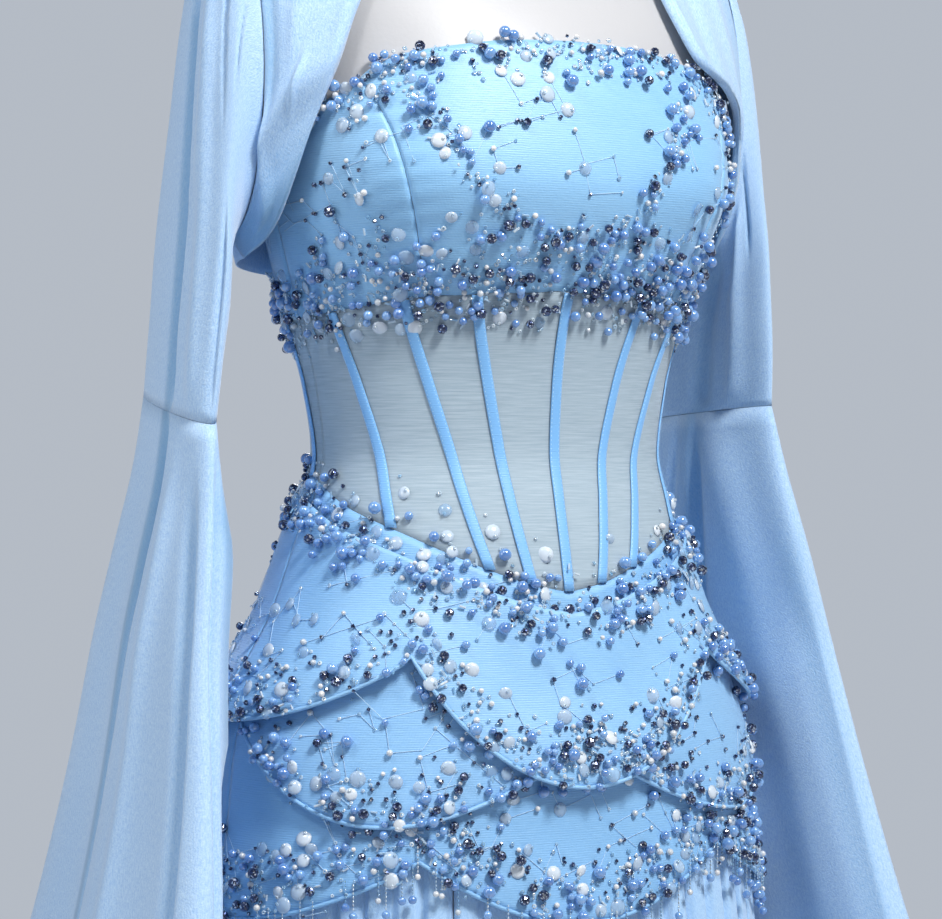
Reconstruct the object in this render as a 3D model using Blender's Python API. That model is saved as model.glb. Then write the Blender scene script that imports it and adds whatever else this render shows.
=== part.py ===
# A strapless prom dress with a net midriff, three scalloped tiers, a pleated skirt
# and an open shrug with bell sleeves, worn by a limbless dress form on a pole.
# Metres, +Z up. The front of the dress faces -Y and the origin is on the floor
# under the pole. Angles are degrees round the body: 0 is the centre front,
# 90 the +X side, 180 the centre back.
import bpy
import numpy as np

MM = 0.001
SATIN = 1.2 * MM
NET = 1.0 * MM
CHIFFON = 1.0 * MM
TAPE = 1.0 * MM
SEAM = 0.3 * MM
TIER_GAP = 0.6 * MM
SHOULDER_GAP = 0.8 * MM
ARMHOLE_GAP = 0.6 * MM
FORM_GAP = 1.0 * MM
SIDE_SEAM = 90.0
CENTRE_BACK = 180.0

# Colour, roughness and metallic value of each finish.
FINISHES = {
    "satin": ((0.36, 0.62, 0.92), 0.42, 0.0),
    "tape": ((0.27, 0.52, 0.86), 0.50, 0.0),
    "net": ((0.62, 0.74, 0.80), 0.75, 0.0),
    "chiffon": ((0.42, 0.66, 0.93), 0.65, 0.0),
    "form": ((0.86, 0.85, 0.84), 0.45, 0.0),
    "steel": ((0.62, 0.63, 0.65), 0.30, 1.0),
    "zip": ((0.30, 0.52, 0.85), 0.55, 0.0),
}


class Table:
    """A short table with named columns, read smoothly anywhere along its first column."""

    def __init__(self, columns, rows):
        self.columns = columns.split()
        self.rows = np.array(rows, dtype=float)

    def at(self, name, place):
        """Read one column at a place with a curve that never overshoots its rows."""
        xs = self.rows[:, 0]
        ys = self.rows[:, self.columns.index(name)]
        steps = np.diff(xs)
        slopes = np.diff(ys) / steps
        tangents = np.zeros(len(xs))
        tangents[0] = slopes[0]
        tangents[-1] = slopes[-1]
        for i in range(1, len(xs) - 1):
            if slopes[i - 1] * slopes[i] > 0:
                before = 2 * steps[i] + steps[i - 1]
                after = steps[i] + 2 * steps[i - 1]
                tangents[i] = (before + after) / (before / slopes[i - 1] + after / slopes[i])
        place = np.clip(place, xs[0], xs[-1])
        i = np.clip(np.searchsorted(xs, place) - 1, 0, len(xs) - 2)
        t = (place - xs[i]) / steps[i]
        start = (1 + 2 * t) * (1 - t) ** 2 * ys[i] + t * (1 - t) ** 2 * steps[i] * tangents[i]
        end = t * t * (3 - 2 * t) * ys[i + 1] + t * t * (t - 1) * steps[i] * tangents[i + 1]
        return start + end


# The figure: the outer face of bodice, midriff and yoke, and the form above them.
BODY = Table("height half_width front back", (
    (0.660, 0.176, 0.118, 0.134),
    (0.700, 0.183, 0.124, 0.140),
    (0.750, 0.1805, 0.122, 0.139),
    (0.800, 0.176, 0.119, 0.136),
    (0.840, 0.172, 0.117, 0.133),
    (0.870, 0.164, 0.114, 0.126),
    (0.900, 0.153, 0.110, 0.117),
    (0.930, 0.140, 0.105, 0.107),
    (0.960, 0.129, 0.099, 0.097),
    (0.990, 0.119, 0.092, 0.087),
    (1.020, 0.112, 0.086, 0.081),
    (1.060, 0.117, 0.089, 0.086),
    (1.100, 0.128, 0.098, 0.092),
    (1.140, 0.139, 0.116, 0.096),
    (1.180, 0.149, 0.128, 0.100),
    (1.220, 0.152, 0.122, 0.103),
    (1.270, 0.152, 0.104, 0.104),
    (1.300, 0.152, 0.088, 0.102),
    (1.330, 0.148, 0.075, 0.094),
    (1.350, 0.136, 0.066, 0.084),
    (1.370, 0.106, 0.060, 0.074),
    (1.390, 0.070, 0.056, 0.064),
    (1.405, 0.058, 0.053, 0.060),
    (1.440, 0.054, 0.050, 0.056),
))
FULLNESS = 0.07
CUP_RISE = 0.055
CUP_HEIGHT = 1.185
CUP_TALL = 0.042
CUP_ANGLE = 40.0
CUP_WIDE = 20.0

# Lines round the dress, read by the angle away from the centre front.
BODICE_TOP = Table("angle height", (
    (0, 1.2645), (12, 1.2635), (29, 1.258), (40, 1.253), (49, 1.245), (56, 1.234),
    (70, 1.222), (90, 1.214), (130, 1.206), (180, 1.204),
))
BAND_EDGE = Table("angle height", (
    (0, 1.115), (38, 1.111), (72, 1.103), (100, 1.100), (140, 1.100), (180, 1.102),
))
BASQUE = Table("angle height", (
    (0, 0.936), (10, 0.941), (20, 0.949), (35, 0.962), (46, 0.971), (67, 0.985),
    (98, 1.005), (140, 1.010), (180, 1.007),
))
PRINCESS = Table("height angle", (
    (1.100, 38.0), (1.115, 38.5), (1.132, 40.0), (1.157, 41.0), (1.177, 42.0),
    (1.201, 44.0), (1.222, 48.0), (1.242, 54.0), (1.260, 60.0),
))

# Petals of each tier, by the angle away from the centre front: where a petal starts
# and ends, the heights of the notches there, how far it drops between them and how
# round it is: 1 is a sine, less is flatter below.
PETAL_COLUMNS = ("start", "end", "start_height", "end_height", "drop", "roundness")
PETALS = {
    1: (
        (-38, 38, 0.898, 0.898, 0.077, 1.0),
        (38, 138, 0.898, 0.895, 0.040, 0.75),
        (138, 222, 0.895, 0.895, 0.050, 0.9),
    ),
    2: (
        (0, 90, 0.845, 0.870, 0.056, 0.95),
        (90, 180, 0.870, 0.850, 0.055, 0.95),
    ),
    3: (
        (-33, 33, 0.781, 0.781, 0.040, 1.0),
        (33, 135, 0.781, 0.781, 0.038, 0.8),
        (135, 225, 0.781, 0.781, 0.038, 0.9),
    ),
}
TIER_TOP_BELOW_BASQUE = 0.013
TIER_2_TOP = 0.915
TIER_LIFT = {1: 2.1 * MM, 2: 2.0 * MM}
PETAL_FLARE = {1: 4.0 * MM, 2: 3.0 * MM, 3: 4.0 * MM}
SIDE_FLARE = 2.0 * MM
FLARE_LENGTH = 0.060

# Boning channels: angle at the top, the middle and the bottom of each.
CHANNELS = {
    "1": (24.5, 18.5, 9.5),
    "2": (45.0, 36.0, 20.5),
    "3": (71.0, 63.0, 50.5),
    "4": (104.0, 102.0, 97.0),
    "5": (134.0, 132.0, 129.0),
    "6": (160.0, 159.0, 157.0),
}
CHANNEL_WIDTH = 7.0 * MM
MIDRIFF_ROWS = 7
ZIP_WIDTH = 4.0 * MM

# Crest line of the skirt's pleats, and how deep they fold in from it.
SKIRT = Table("height half_width front back pleat", (
    (0.020, 0.345, 0.295, 0.330, 0.026),
    (0.190, 0.298, 0.248, 0.278, 0.024),
    (0.360, 0.245, 0.195, 0.218, 0.020),
    (0.520, 0.203, 0.152, 0.172, 0.014),
    (0.620, 0.190, 0.135, 0.152, 0.010),
    (0.700, 0.1835, 0.126, 0.142, 0.007),
    (0.760, 0.1776, 0.1196, 0.1363, 0.004),
    (0.818, 0.1718, 0.1157, 0.1325, 0.003),
))
SKIRT_ROWS = (0.020, 0.300, 0.540, 0.700, 0.818)
GORES = ("front", "side_front_R", "side_back_R", "back_R",
         "back_L", "side_back_L", "side_front_L")
PLEATS_PER_GORE = 8
PLEAT_CREST = (0.25, 0.75)

# The armhole and upper sleeve: each ring's inner point under the arm and its outer
# point, the middle and half of its front-to-back width, and how far it swings out.
SLEEVE = Table("place inner_x inner_z outer_x outer_z mid_y half_y swing", (
    (0.0, 0.168, 1.150, 0.169, 1.345, 0.015, 0.0500, 0.0),
    (1.0, 0.171, 1.140, 0.179, 1.337, 0.018, 0.0510, 2.0),
    (2.0, 0.173, 1.128, 0.186, 1.300, 0.021, 0.0530, 4.0),
    (3.0, 0.175, 1.112, 0.191, 1.240, 0.025, 0.0570, 5.0),
    (4.0, 0.176, 1.090, 0.196, 1.170, 0.029, 0.0630, 5.0),
    (5.0, 0.178, 1.068, 0.200, 1.100, 0.033, 0.0640, 6.0),
    (6.0, 0.180, 1.046, 0.203, 1.046, 0.036, 0.0625, 6.0),
))
SLEEVE_RINGS = 8
RING_POINTS = 16

# The bell: one row for each height, with the depth of its soft folds.
BELL = Table("height mid_x mid_y half_long half_thin fold", (
    (0.560, 0.256, 0.058, 0.216, 0.036, 0.010),
    (0.650, 0.237, 0.055, 0.188, 0.033, 0.008),
    (0.742, 0.221, 0.051, 0.159, 0.028, 0.006),
    (0.837, 0.211, 0.047, 0.129, 0.022, 0.004),
    (0.908, 0.205, 0.043, 0.105, 0.020, 0.003),
    (0.955, 0.199, 0.040, 0.092, 0.018, 0.002),
    (1.010, 0.193, 0.037, 0.074, 0.014, 0.001),
    (1.0457, 0.1915, 0.036, 0.0625, 0.0115, 0.0),
))
BELL_SWING = 6.0
BELL_FOLDS = 7
BELL_ROWS = 7
BELL_POINTS = 28
# How much higher the elbow seam sits at the back of each sleeve than halfway round it.
ELBOW_TILT = {-1: 0.010, 1: -0.004}
TILT_FADE = 3

# Free front edge of the shrug on each side, from the neck down to the underarm.
SHRUG_EDGE = {
    -1: Table("place x y z", (
        (0.00, 0.068, 0.012, 1.401), (0.05, 0.071, -0.006, 1.399), (0.15, 0.092, -0.050, 1.352),
        (0.32, 0.110, -0.068, 1.300), (0.46, 0.126, -0.068, 1.258), (0.62, 0.139, -0.055, 1.210),
        (0.78, 0.148, -0.036, 1.168), (0.90, 0.156, -0.016, 1.146), (1.00, 0.163, 0.004, 1.136),
    )),
    1: Table("place x y z", (
        (0.00, 0.068, 0.012, 1.401), (0.05, 0.068, -0.006, 1.399), (0.15, 0.068, -0.052, 1.352),
        (0.32, 0.072, -0.080, 1.300), (0.46, 0.089, -0.093, 1.258), (0.54, 0.120, -0.071, 1.243),
        (0.62, 0.152, -0.042, 1.222), (0.78, 0.159, -0.030, 1.180), (0.90, 0.161, -0.012, 1.150),
        (1.00, 0.163, 0.004, 1.136),
    )),
}
# Points inside the figure go to its surface; the power sets how sharply they do.
REST_POWER = 24
LEAST_REACH = 0.05
SHRUG_LIFT = 1.2 * MM
SHOULDER_LIFT = 6.0 * MM
SHOULDER_START = 1.320
SHOULDER_FULL = 1.350
SHRUG_NECK = (0.068, 0.012, 1.401)
SHRUG_BACK_NECK = 1.384
SHRUG_BACK_HEM = 1.128
SHRUG_ROWS = 11
SHOULDER_STEPS = 5
BACK_NECK_STEPS = 4
ARMHOLE_SHARE = 0.9

# The dress form: where its torso starts, how it narrows above its foot, its neck.
FORM_FOOT = 0.745
FORM_NECK = 1.425
FORM_COLUMNS = 32
FORM_HEIGHTS = (0.745, 0.752, 0.800, 0.850, 0.880, 0.910, 0.930, 0.950, 0.965, 0.980,
                0.995, 1.010, 1.025, 1.040, 1.060, 1.080, 1.100, 1.120, 1.140, 1.160,
                1.185, 1.210, 1.240, 1.270, 1.300, 1.325, 1.347, 1.370, 1.395, 1.425)
FORM_INSET = Table("height inset", (
    (0.745, 0.026), (0.752, 0.015), (0.780, 0.011), (0.825, 0.010), (0.860, 0.0032),
    (0.960, 0.0026), (1.000, SATIN + FORM_GAP), (1.425, SATIN + FORM_GAP),
))
CAP_RADIUS = 0.046
CAP_TALL = 0.016
# The cap's rounded shape, as shares of its radius and its height.
CAP_PROFILE = ((1.0, 0.0), (1.0, 0.6), (0.93, 0.88), (0.8, 1.0))
POLE_RADIUS = 0.0125
BASE_RADIUS = 0.190
BASE_TALL = 0.014
BASE_EDGE = 0.004
ROUND_STEPS = 24


def body_point(angle, height):
    """The figure's surface at an angle and a height."""
    turn = np.radians(angle)
    sine = np.sin(turn)
    cosine = np.cos(turn)
    depth = np.where(cosine > 0, BODY.at("front", height), BODY.at("back", height))
    x = BODY.at("half_width", height) * sine * (1 + FULLNESS * cosine ** 2)
    y = -depth * cosine * (1 + FULLNESS * sine ** 2)
    off_axis = np.abs((np.asarray(angle) + 180) % 360 - 180)
    cup = CUP_RISE * np.exp(-((height - CUP_HEIGHT) / CUP_TALL) ** 2)
    cup = 1 + cup * np.exp(-((off_axis - CUP_ANGLE) / CUP_WIDE) ** 2)
    return np.stack([x * cup, y * cup, height + 0 * x], axis=-1)


def body_surface(angle, height, lift):
    """The figure's surface moved out along its normal."""
    angle, height = np.broadcast_arrays(np.asarray(angle, float), np.asarray(height, float))
    round_way = body_point(angle + 0.2, height) - body_point(angle - 0.2, height)
    up_way = body_point(angle, height + 0.0005) - body_point(angle, height - 0.0005)
    normal = np.cross(round_way, up_way)
    normal /= np.linalg.norm(normal, axis=-1, keepdims=True)
    return body_point(angle, height) + normal * np.asarray(lift)[..., None]


def degrees_for(distance, angle, height):
    """How many degrees round the body a distance covers there."""
    step = body_point(angle + 0.5, height) - body_point(angle - 0.5, height)
    return distance / np.linalg.norm(step, axis=-1)


def off_front(angle):
    """The angle away from the centre front, 0 to 180."""
    return np.abs((np.asarray(angle, float) + 180) % 360 - 180)


def petal_edge(tier, angle):
    """Height of a tier's scalloped lower edge."""
    away = off_front(angle)
    height = np.zeros_like(away)
    for row in PETALS[tier]:
        petal = dict(zip(PETAL_COLUMNS, row))
        share = (away - petal["start"]) / (petal["end"] - petal["start"])
        notch = petal["start_height"] + (petal["end_height"] - petal["start_height"]) * share
        edge = notch - petal["drop"] * np.sin(np.pi * np.clip(share, 0, 1)) ** petal["roundness"]
        height = np.where((share >= 0) & (share <= 1), edge, height)
    return height


def flare(tier, angle, height):
    """How far a tier stands off near its free edge, more at the sides."""
    rise = np.clip(1 - (height - petal_edge(tier, angle)) / FLARE_LENGTH, 0, 1)
    size = PETAL_FLARE[tier] + SIDE_FLARE * (tier == 1) * np.sin(np.radians(off_front(angle))) ** 4
    return size * rise * rise * (3 - 2 * rise)


def tier_lift(tier, angle, height):
    """Outer face of a tier above the figure: each tier clears the one under it."""
    lift = flare(3, angle, height)
    if tier <= 2:
        lift = np.maximum(lift, 0) + TIER_LIFT[2] + flare(2, angle, height)
    if tier == 1:
        lift = lift + TIER_LIFT[1] + flare(1, angle, height)
    return lift


def finish(piece, kind):
    """Give a piece its own plain material."""
    colour, roughness, metallic = FINISHES[kind]
    material = bpy.data.materials.new(piece.name)
    material.use_nodes = True
    shader = material.node_tree.nodes["Principled BSDF"]
    shader.inputs["Base Color"].default_value = (*colour, 1)
    shader.inputs["Roughness"].default_value = roughness
    shader.inputs["Metallic"].default_value = metallic
    piece.data.materials.append(material)
    piece.data.shade_smooth()


def cloth(name, points, thickness, kind, closed=False):
    """A cloth wall. Rows of outer points run upward and columns toward greater angles."""
    rows, columns = points.shape[:2]
    faces = []
    for row in range(rows - 1):
        for column in range(columns if closed else columns - 1):
            after = (column + 1) % columns
            low = row * columns
            high = low + columns
            faces.append((low + column, low + after, high + after, high + column))
    mesh = bpy.data.meshes.new(name)
    mesh.from_pydata(points.reshape(-1, 3).tolist(), [], faces)
    piece = bpy.data.objects.new(name, mesh)
    bpy.context.collection.objects.link(piece)
    wall = piece.modifiers.new("wall", "SOLIDIFY")
    wall.thickness = thickness
    wall.offset = -1
    wall.use_even_offset = True
    wall.use_rim = True
    finish(piece, kind)
    return piece


def turned(name, rings, kind):
    """A closed solid through rings of points, from the lowest up."""
    count = len(rings[0])
    faces = [tuple(reversed(range(count)))]
    for row in range(len(rings) - 1):
        for i in range(count):
            after = (i + 1) % count
            low = row * count
            high = low + count
            faces.append((low + i, low + after, high + after, high + i))
    faces.append(tuple(range((len(rings) - 1) * count, len(rings) * count)))
    mesh = bpy.data.meshes.new(name)
    mesh.from_pydata(np.concatenate(rings).tolist(), [], faces)
    piece = bpy.data.objects.new(name, mesh)
    bpy.context.collection.objects.link(piece)
    finish(piece, kind)
    return piece


def circle(radius, height):
    """A level ring round the pole."""
    turn = np.arange(ROUND_STEPS) * 2 * np.pi / ROUND_STEPS
    return np.stack([radius * np.sin(turn), -radius * np.cos(turn), height + 0 * turn], axis=-1)


def panel(left, right, bottom, top, columns, rows, lift, stops=(), gap=SEAM):
    """Points of a panel between two side lines and two edges, half a seam inside them.

    left and right give an angle for a height; bottom and top give a height for an
    angle; stops are angles where a column must lie.
    """
    shares = np.linspace(0, 1, columns)
    if stops:
        marks = [left(0), *stops, right(0)]
        whole = marks[-1] - marks[0]
        runs = [marks[:1]]
        for a, b in zip(marks, marks[1:]):
            count = max(2, round((b - a) / whole * (columns - 1)))
            runs.append(np.linspace(a, b, count + 1)[1:])
        shares = (np.concatenate(runs) - marks[0]) / whole
    climbs = np.linspace(0, 1, rows)
    share, climb = np.meshgrid(shares, climbs)
    height = np.full(share.shape, 1.0)
    for _ in range(6):
        start = left(height) + degrees_for(gap / 2, left(height), height)
        end = right(height) - degrees_for(gap / 2, right(height), height)
        angle = start + (end - start) * share
        low = bottom(angle) + gap / 2
        high = top(angle) - gap / 2
        height = low + (high - low) * climb
    return body_surface(angle, height, lift(angle, height))


def fixed(value):
    """A side line that stays at one angle at every height."""
    return lambda height: value + 0 * np.asarray(height, float)


def mirrored(points):
    """The same panel on the other side of the centre line."""
    return points[:, ::-1] * (-1, 1, 1)


def pair(name, points, thickness, kind):
    """A panel on the +X side and its mirror image."""
    cloth(name + "_R", points, thickness, kind)
    cloth(name + "_L", mirrored(points), thickness, kind)


def zip_side(height):
    """Side line of the back panels, beside the zip."""
    return CENTRE_BACK - degrees_for(ZIP_WIDTH / 2, CENTRE_BACK, height)


def flat_lift(angle, height):
    """A panel that is part of the figure's surface itself."""
    return 0 * angle


def line(table):
    """One of the lines round the dress as a function of the angle."""
    return lambda angle: table.at("height", off_front(angle))


def make_bodice():
    """Front panel between the princess seams, side panels and back panels."""
    bottom, top = line(BAND_EDGE), line(BODICE_TOP)
    seam = lambda height: PRINCESS.at("angle", height)
    front = panel(lambda height: -seam(height), seam, bottom, top, 17, 9, flat_lift)
    cloth("bodice_front", front, SATIN, "satin")
    side = panel(seam, fixed(SIDE_SEAM), bottom, top, 8, 9, flat_lift)
    pair("bodice_side", side, SATIN, "satin")
    back = panel(fixed(SIDE_SEAM), zip_side, bottom, top, 8, 9, flat_lift)
    pair("bodice_back", back, SATIN, "satin")


def make_midriff():
    """The sheer net between the bust band and the basque line."""
    bottom, top = line(BASQUE), line(BAND_EDGE)
    front = panel(fixed(-SIDE_SEAM), fixed(SIDE_SEAM), bottom, top, 19, MIDRIFF_ROWS, flat_lift)
    cloth("midriff_net_front", front, NET, "net")
    back = panel(fixed(SIDE_SEAM), zip_side, bottom, top, 9, MIDRIFF_ROWS, flat_lift)
    pair("midriff_net_back", back, NET, "net")


def channel(angles):
    """Points of one boning channel, laid on the net along a line through three angles."""
    climb = np.linspace(0, 1, MIDRIFF_ROWS)
    top, middle, bottom = angles
    slope = 4 * middle - top - 3 * bottom
    centre = bottom + slope * climb + 2 * (top + bottom - 2 * middle) * climb ** 2
    low = BASQUE.at("height", off_front(centre)) + SEAM / 2
    high = BAND_EDGE.at("height", off_front(centre)) - SEAM / 2
    height = low + (high - low) * climb
    half = degrees_for(CHANNEL_WIDTH / 2, centre, height)
    angle = np.stack([centre - half, centre, centre + half], axis=1)
    return body_surface(angle, height[:, None] + 0 * angle, (SEAM + TAPE) + 0 * angle)


def make_channels():
    cloth("boning_channel_centre", channel((0.0, 0.0, 0.0)), TAPE, "tape")
    for label, angles in CHANNELS.items():
        pair("boning_channel_" + label, channel(angles), TAPE, "tape")


def make_zip():
    low = petal_edge(3, CENTRE_BACK) + SEAM
    heights = np.linspace(low, BODICE_TOP.at("height", CENTRE_BACK) - SEAM, 27)
    half = degrees_for(ZIP_WIDTH / 2 - SEAM / 2, CENTRE_BACK, heights)
    angle = CENTRE_BACK + np.stack([-half, half], axis=1)
    height = heights[:, None] + 0 * angle
    cloth("back_zip", body_surface(angle, height, flare(3, angle, height)), SATIN, "zip")


def notches(tier):
    """Angles of a tier's notches between the side seams, and behind them."""
    starts = [row[0] for row in PETALS[tier] if 0 < row[0] < SIDE_SEAM]
    centre = [0] if PETALS[tier][0][0] == 0 else []
    front = [-angle for angle in starts] + centre + starts
    back = [row[0] for row in PETALS[tier] if SIDE_SEAM < row[0] < CENTRE_BACK]
    return front, back


def make_tiers():
    """The yoke with the lowest scalloped edge, and the two scalloped tiers over it."""
    tops = {
        3: line(BASQUE),
        2: lambda angle: TIER_2_TOP + 0 * angle,
        1: lambda angle: BASQUE.at("height", off_front(angle)) - TIER_TOP_BELOW_BASQUE,
    }
    names = {3: "hip_yoke", 2: "tier_2", 1: "tier_1"}
    rows = {3: 9, 2: 5, 1: 5}
    for tier in (3, 2, 1):
        front_stops, back_stops = notches(tier)
        edge = lambda angle, tier=tier: petal_edge(tier, angle)
        lift = lambda angle, height, tier=tier: tier_lift(tier, angle, height)
        back_line = zip_side if tier == 3 else fixed(CENTRE_BACK)
        front = panel(fixed(-SIDE_SEAM), fixed(SIDE_SEAM), edge, tops[tier], 27, rows[tier], lift,
                      front_stops, TIER_GAP)
        cloth(names[tier] + "_front", front, SATIN, "satin")
        back = panel(fixed(SIDE_SEAM), back_line, edge, tops[tier], 14, rows[tier], lift,
                     back_stops, TIER_GAP)
        pair(names[tier] + "_back", back, SATIN, "satin")


def skirt_point(angle, height, fold):
    """The skirt at an angle and a height; fold is 1 on a crest and 0 in a valley."""
    turn = np.radians(angle)
    depth = np.where(np.cos(turn) > 0, SKIRT.at("front", height), SKIRT.at("back", height))
    half_width = SKIRT.at("half_width", height)
    sink = SKIRT.at("pleat", height) * (1 - fold)
    x = (half_width - sink) * np.sin(turn) * (1 + FULLNESS * np.cos(turn) ** 2)
    y = -(depth - sink) * np.cos(turn) * (1 + FULLNESS * np.sin(turn) ** 2)
    return np.stack([x, y, height + 0 * x], axis=-1)


def make_skirt():
    """Seven gores with box pleats that open toward the hem."""
    gore_angle = 360 / len(GORES)
    pleat_angle = gore_angle / PLEATS_PER_GORE
    corners = [pleat + corner for pleat in range(PLEATS_PER_GORE) for corner in (0, *PLEAT_CREST)]
    folds = [0, 1, 1] * PLEATS_PER_GORE + [0]
    heights = np.array(SKIRT_ROWS)[:, None]
    for number, name in enumerate(GORES):
        start = (number - 0.5) * gore_angle
        steps = np.array([*corners, PLEATS_PER_GORE], dtype=float)
        angle = start + steps * pleat_angle + 0 * heights
        reach = np.linalg.norm(skirt_point(angle, heights, 0.5)[..., :2], axis=-1)
        trim = np.degrees(SEAM / 2 / reach)
        angle[:, 0] += trim[:, 0]
        angle[:, -1] -= trim[:, -1]
        points = skirt_point(angle, heights + 0 * angle, np.array(folds))
        cloth("skirt_" + name, points, CHIFFON, "chiffon")


def swing_out(points, middle_x, middle_y, degrees):
    """Turn points about an upright line so that their front swings away from the body."""
    turn = np.radians(degrees)
    x = points[..., 0] - middle_x
    y = points[..., 1] - middle_y
    turned_x = middle_x + x * np.cos(turn) - y * np.sin(turn)
    turned_y = middle_y + x * np.sin(turn) + y * np.cos(turn)
    return np.stack([turned_x, turned_y, points[..., 2]], axis=-1)


def sleeve_ring(place, turn, tilt=0.0):
    """A ring of the upper sleeve; turn is 0 at the back, 90 at the top or outside."""
    read = {name: SLEEVE.at(name, place) for name in SLEEVE.columns[1:]}
    sine = np.sin(np.radians(turn))
    cosine = np.cos(np.radians(turn))
    x = (read["outer_x"] + read["inner_x"]) / 2 + (read["outer_x"] - read["inner_x"]) / 2 * sine
    z = (read["outer_z"] + read["inner_z"]) / 2 + (read["outer_z"] - read["inner_z"]) / 2 * sine
    z = z + tilt * (place / SLEEVE.rows[-1, 0]) ** TILT_FADE * cosine
    y = read["mid_y"] + read["half_y"] * cosine
    ring = np.stack([x + 0 * y, y, z + 0 * y], axis=-1)
    middle_x = (read["outer_x"] + read["inner_x"]) / 2
    return swing_out(ring, middle_x, read["mid_y"], read["swing"])


def upper_sleeve(side):
    """Rings from the elbow up to the armhole."""
    turns = -np.arange(RING_POINTS) * 360 / RING_POINTS
    places = np.linspace(SLEEVE.rows[-1, 0], 0, SLEEVE_RINGS)
    return np.stack([sleeve_ring(place, turns, ELBOW_TILT[side]) for place in places])


def bell_sleeve(side):
    """Rings from the level hem up to the elbow, with soft folds that deepen downward."""
    turn = -np.arange(BELL_POINTS) * 2 * np.pi / BELL_POINTS
    hem, elbow = BELL.rows[0, 0], BELL.rows[-1, 0]
    rings = []
    for height in np.linspace(hem, elbow, BELL_ROWS):
        read = {name: BELL.at(name, height) for name in BELL.columns[1:]}
        wave = read["fold"] * np.cos(BELL_FOLDS * turn)
        x = read["mid_x"] + (read["half_thin"] + wave) * np.sin(turn)
        y = read["mid_y"] + (read["half_long"] + wave) * np.cos(turn)
        z = height + ELBOW_TILT[side] * ((height - hem) / (elbow - hem)) ** TILT_FADE * np.cos(turn)
        ring = np.stack([x, y, z], axis=-1)
        rings.append(swing_out(ring, read["mid_x"], read["mid_y"], BELL_SWING))
    return np.stack(rings)


def make_sleeves():
    for name, sleeve in (("sleeve_upper", upper_sleeve), ("sleeve_bell", bell_sleeve)):
        cloth(name + "_R", sleeve(1), CHIFFON, "chiffon", closed=True)
        cloth(name + "_L", mirrored(sleeve(-1)), CHIFFON, "chiffon", closed=True)


def clear_of_body(points):
    """Push the shrug's points out, level, until they clear the figure; more on the shoulders."""
    x, y, z = points[..., 0], points[..., 1], points[..., 2]
    on_shoulder = np.clip((z - SHOULDER_START) / (SHOULDER_FULL - SHOULDER_START), 0, 1)
    lift = SHRUG_LIFT + SHOULDER_LIFT * on_shoulder
    half_width = BODY.at("half_width", z) + lift
    depth = np.where(y < 0, BODY.at("front", z), BODY.at("back", z)) + lift
    reach = np.sqrt((x / half_width) ** 2 + (y / depth) ** 2) / (1 + FULLNESS / 2)
    scale = (reach ** REST_POWER + 1) ** (1 / REST_POWER) / np.maximum(reach, LEAST_REACH)
    return np.stack([x * scale, y * scale, z], axis=-1)


def armhole(turn):
    """The shrug's armhole edge, just inside the sleeve's first ring."""
    return sleeve_ring(0, turn) - (ARMHOLE_GAP, 0, 0)


def shoulder_seam():
    """Points of the shoulder seam from the neck out to the armhole."""
    share = np.linspace(0, 1, SHOULDER_STEPS + 1)[:, None]
    return SHRUG_NECK + (armhole(90) - SHRUG_NECK) * share


def shrug_front(side):
    """Rows from the underarm up to the shoulder seam, columns from free edge to armhole."""
    climb = np.linspace(1, 0, SHRUG_ROWS)
    edge = np.stack([SHRUG_EDGE[side].at(name, climb) for name in ("x", "y", "z")], axis=-1)
    edge = clear_of_body(edge)
    hole = armhole(90 + 180 * climb)
    share = np.linspace(0, 1, SHOULDER_STEPS + 1)[None, :, None]
    points = edge[:, None] * (1 - share) + hole[:, None] * share
    keep = share ** 4
    points = clear_of_body(points) * (1 - keep) + points * keep
    points[-1] = shoulder_seam() - (0, SHOULDER_GAP / 2, 0)
    points[0, :, 1] -= SHOULDER_GAP / 2
    return points


def quarter_round(corner, back, height, share):
    """A level-ended curve from a corner at the side round to the centre back."""
    turn = share * np.pi / 2
    x = corner[0] * np.cos(turn)
    y = corner[1] + (back - corner[1]) * np.sin(turn)
    z = corner[2] + (height - corner[2]) * np.sin(turn)
    return np.stack([x, y, z], axis=-1)


def shrug_back():
    """Rows from the hem up to shoulder seams and back neck, columns from +X round to -X."""
    climb = np.linspace(1, 0, SHRUG_ROWS)
    hem_corner = SHRUG_EDGE[1].rows[-1, 1:]
    side = armhole(90 - 180 * np.clip(climb / ARMHOLE_SHARE, 0, 1))
    side[0] = hem_corner
    centre_height = SHRUG_BACK_NECK + (SHRUG_BACK_HEM - SHRUG_BACK_NECK) * climb
    centre_lift = SHRUG_LIFT * (1 + climb)
    centre = np.stack([0 * climb, BODY.at("back", centre_height) + centre_lift, centre_height], axis=-1)
    neck_share = np.linspace(0, 1, BACK_NECK_STEPS + 1)
    neck = quarter_round(SHRUG_NECK, centre[-1, 1], SHRUG_BACK_NECK, neck_share)
    top = np.concatenate([shoulder_seam()[::-1], neck[1:]])
    across = np.linspace(0, 1, len(top))
    hem = quarter_round(hem_corner, centre[0, 1], SHRUG_BACK_HEM, across)
    across = across[None, :, None]
    drop = climb[:, None, None]
    ruled = top * (1 - drop) + hem * drop
    points = ruled + (side[:, None] - ruled[:, :1]) * (1 - across)
    points = points + (centre[:, None] - ruled[:, -1:]) * across
    keep = (1 - across) ** 4
    points = clear_of_body(points) * (1 - keep) + points * keep
    points[-1, :SHOULDER_STEPS + 1] = shoulder_seam()[::-1] + (0, SHOULDER_GAP / 2, 0)
    points[:2, 0, 1] += SHOULDER_GAP / 2
    return np.concatenate([points, points[:, -2::-1] * (-1, 1, 1)], axis=1)


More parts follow.
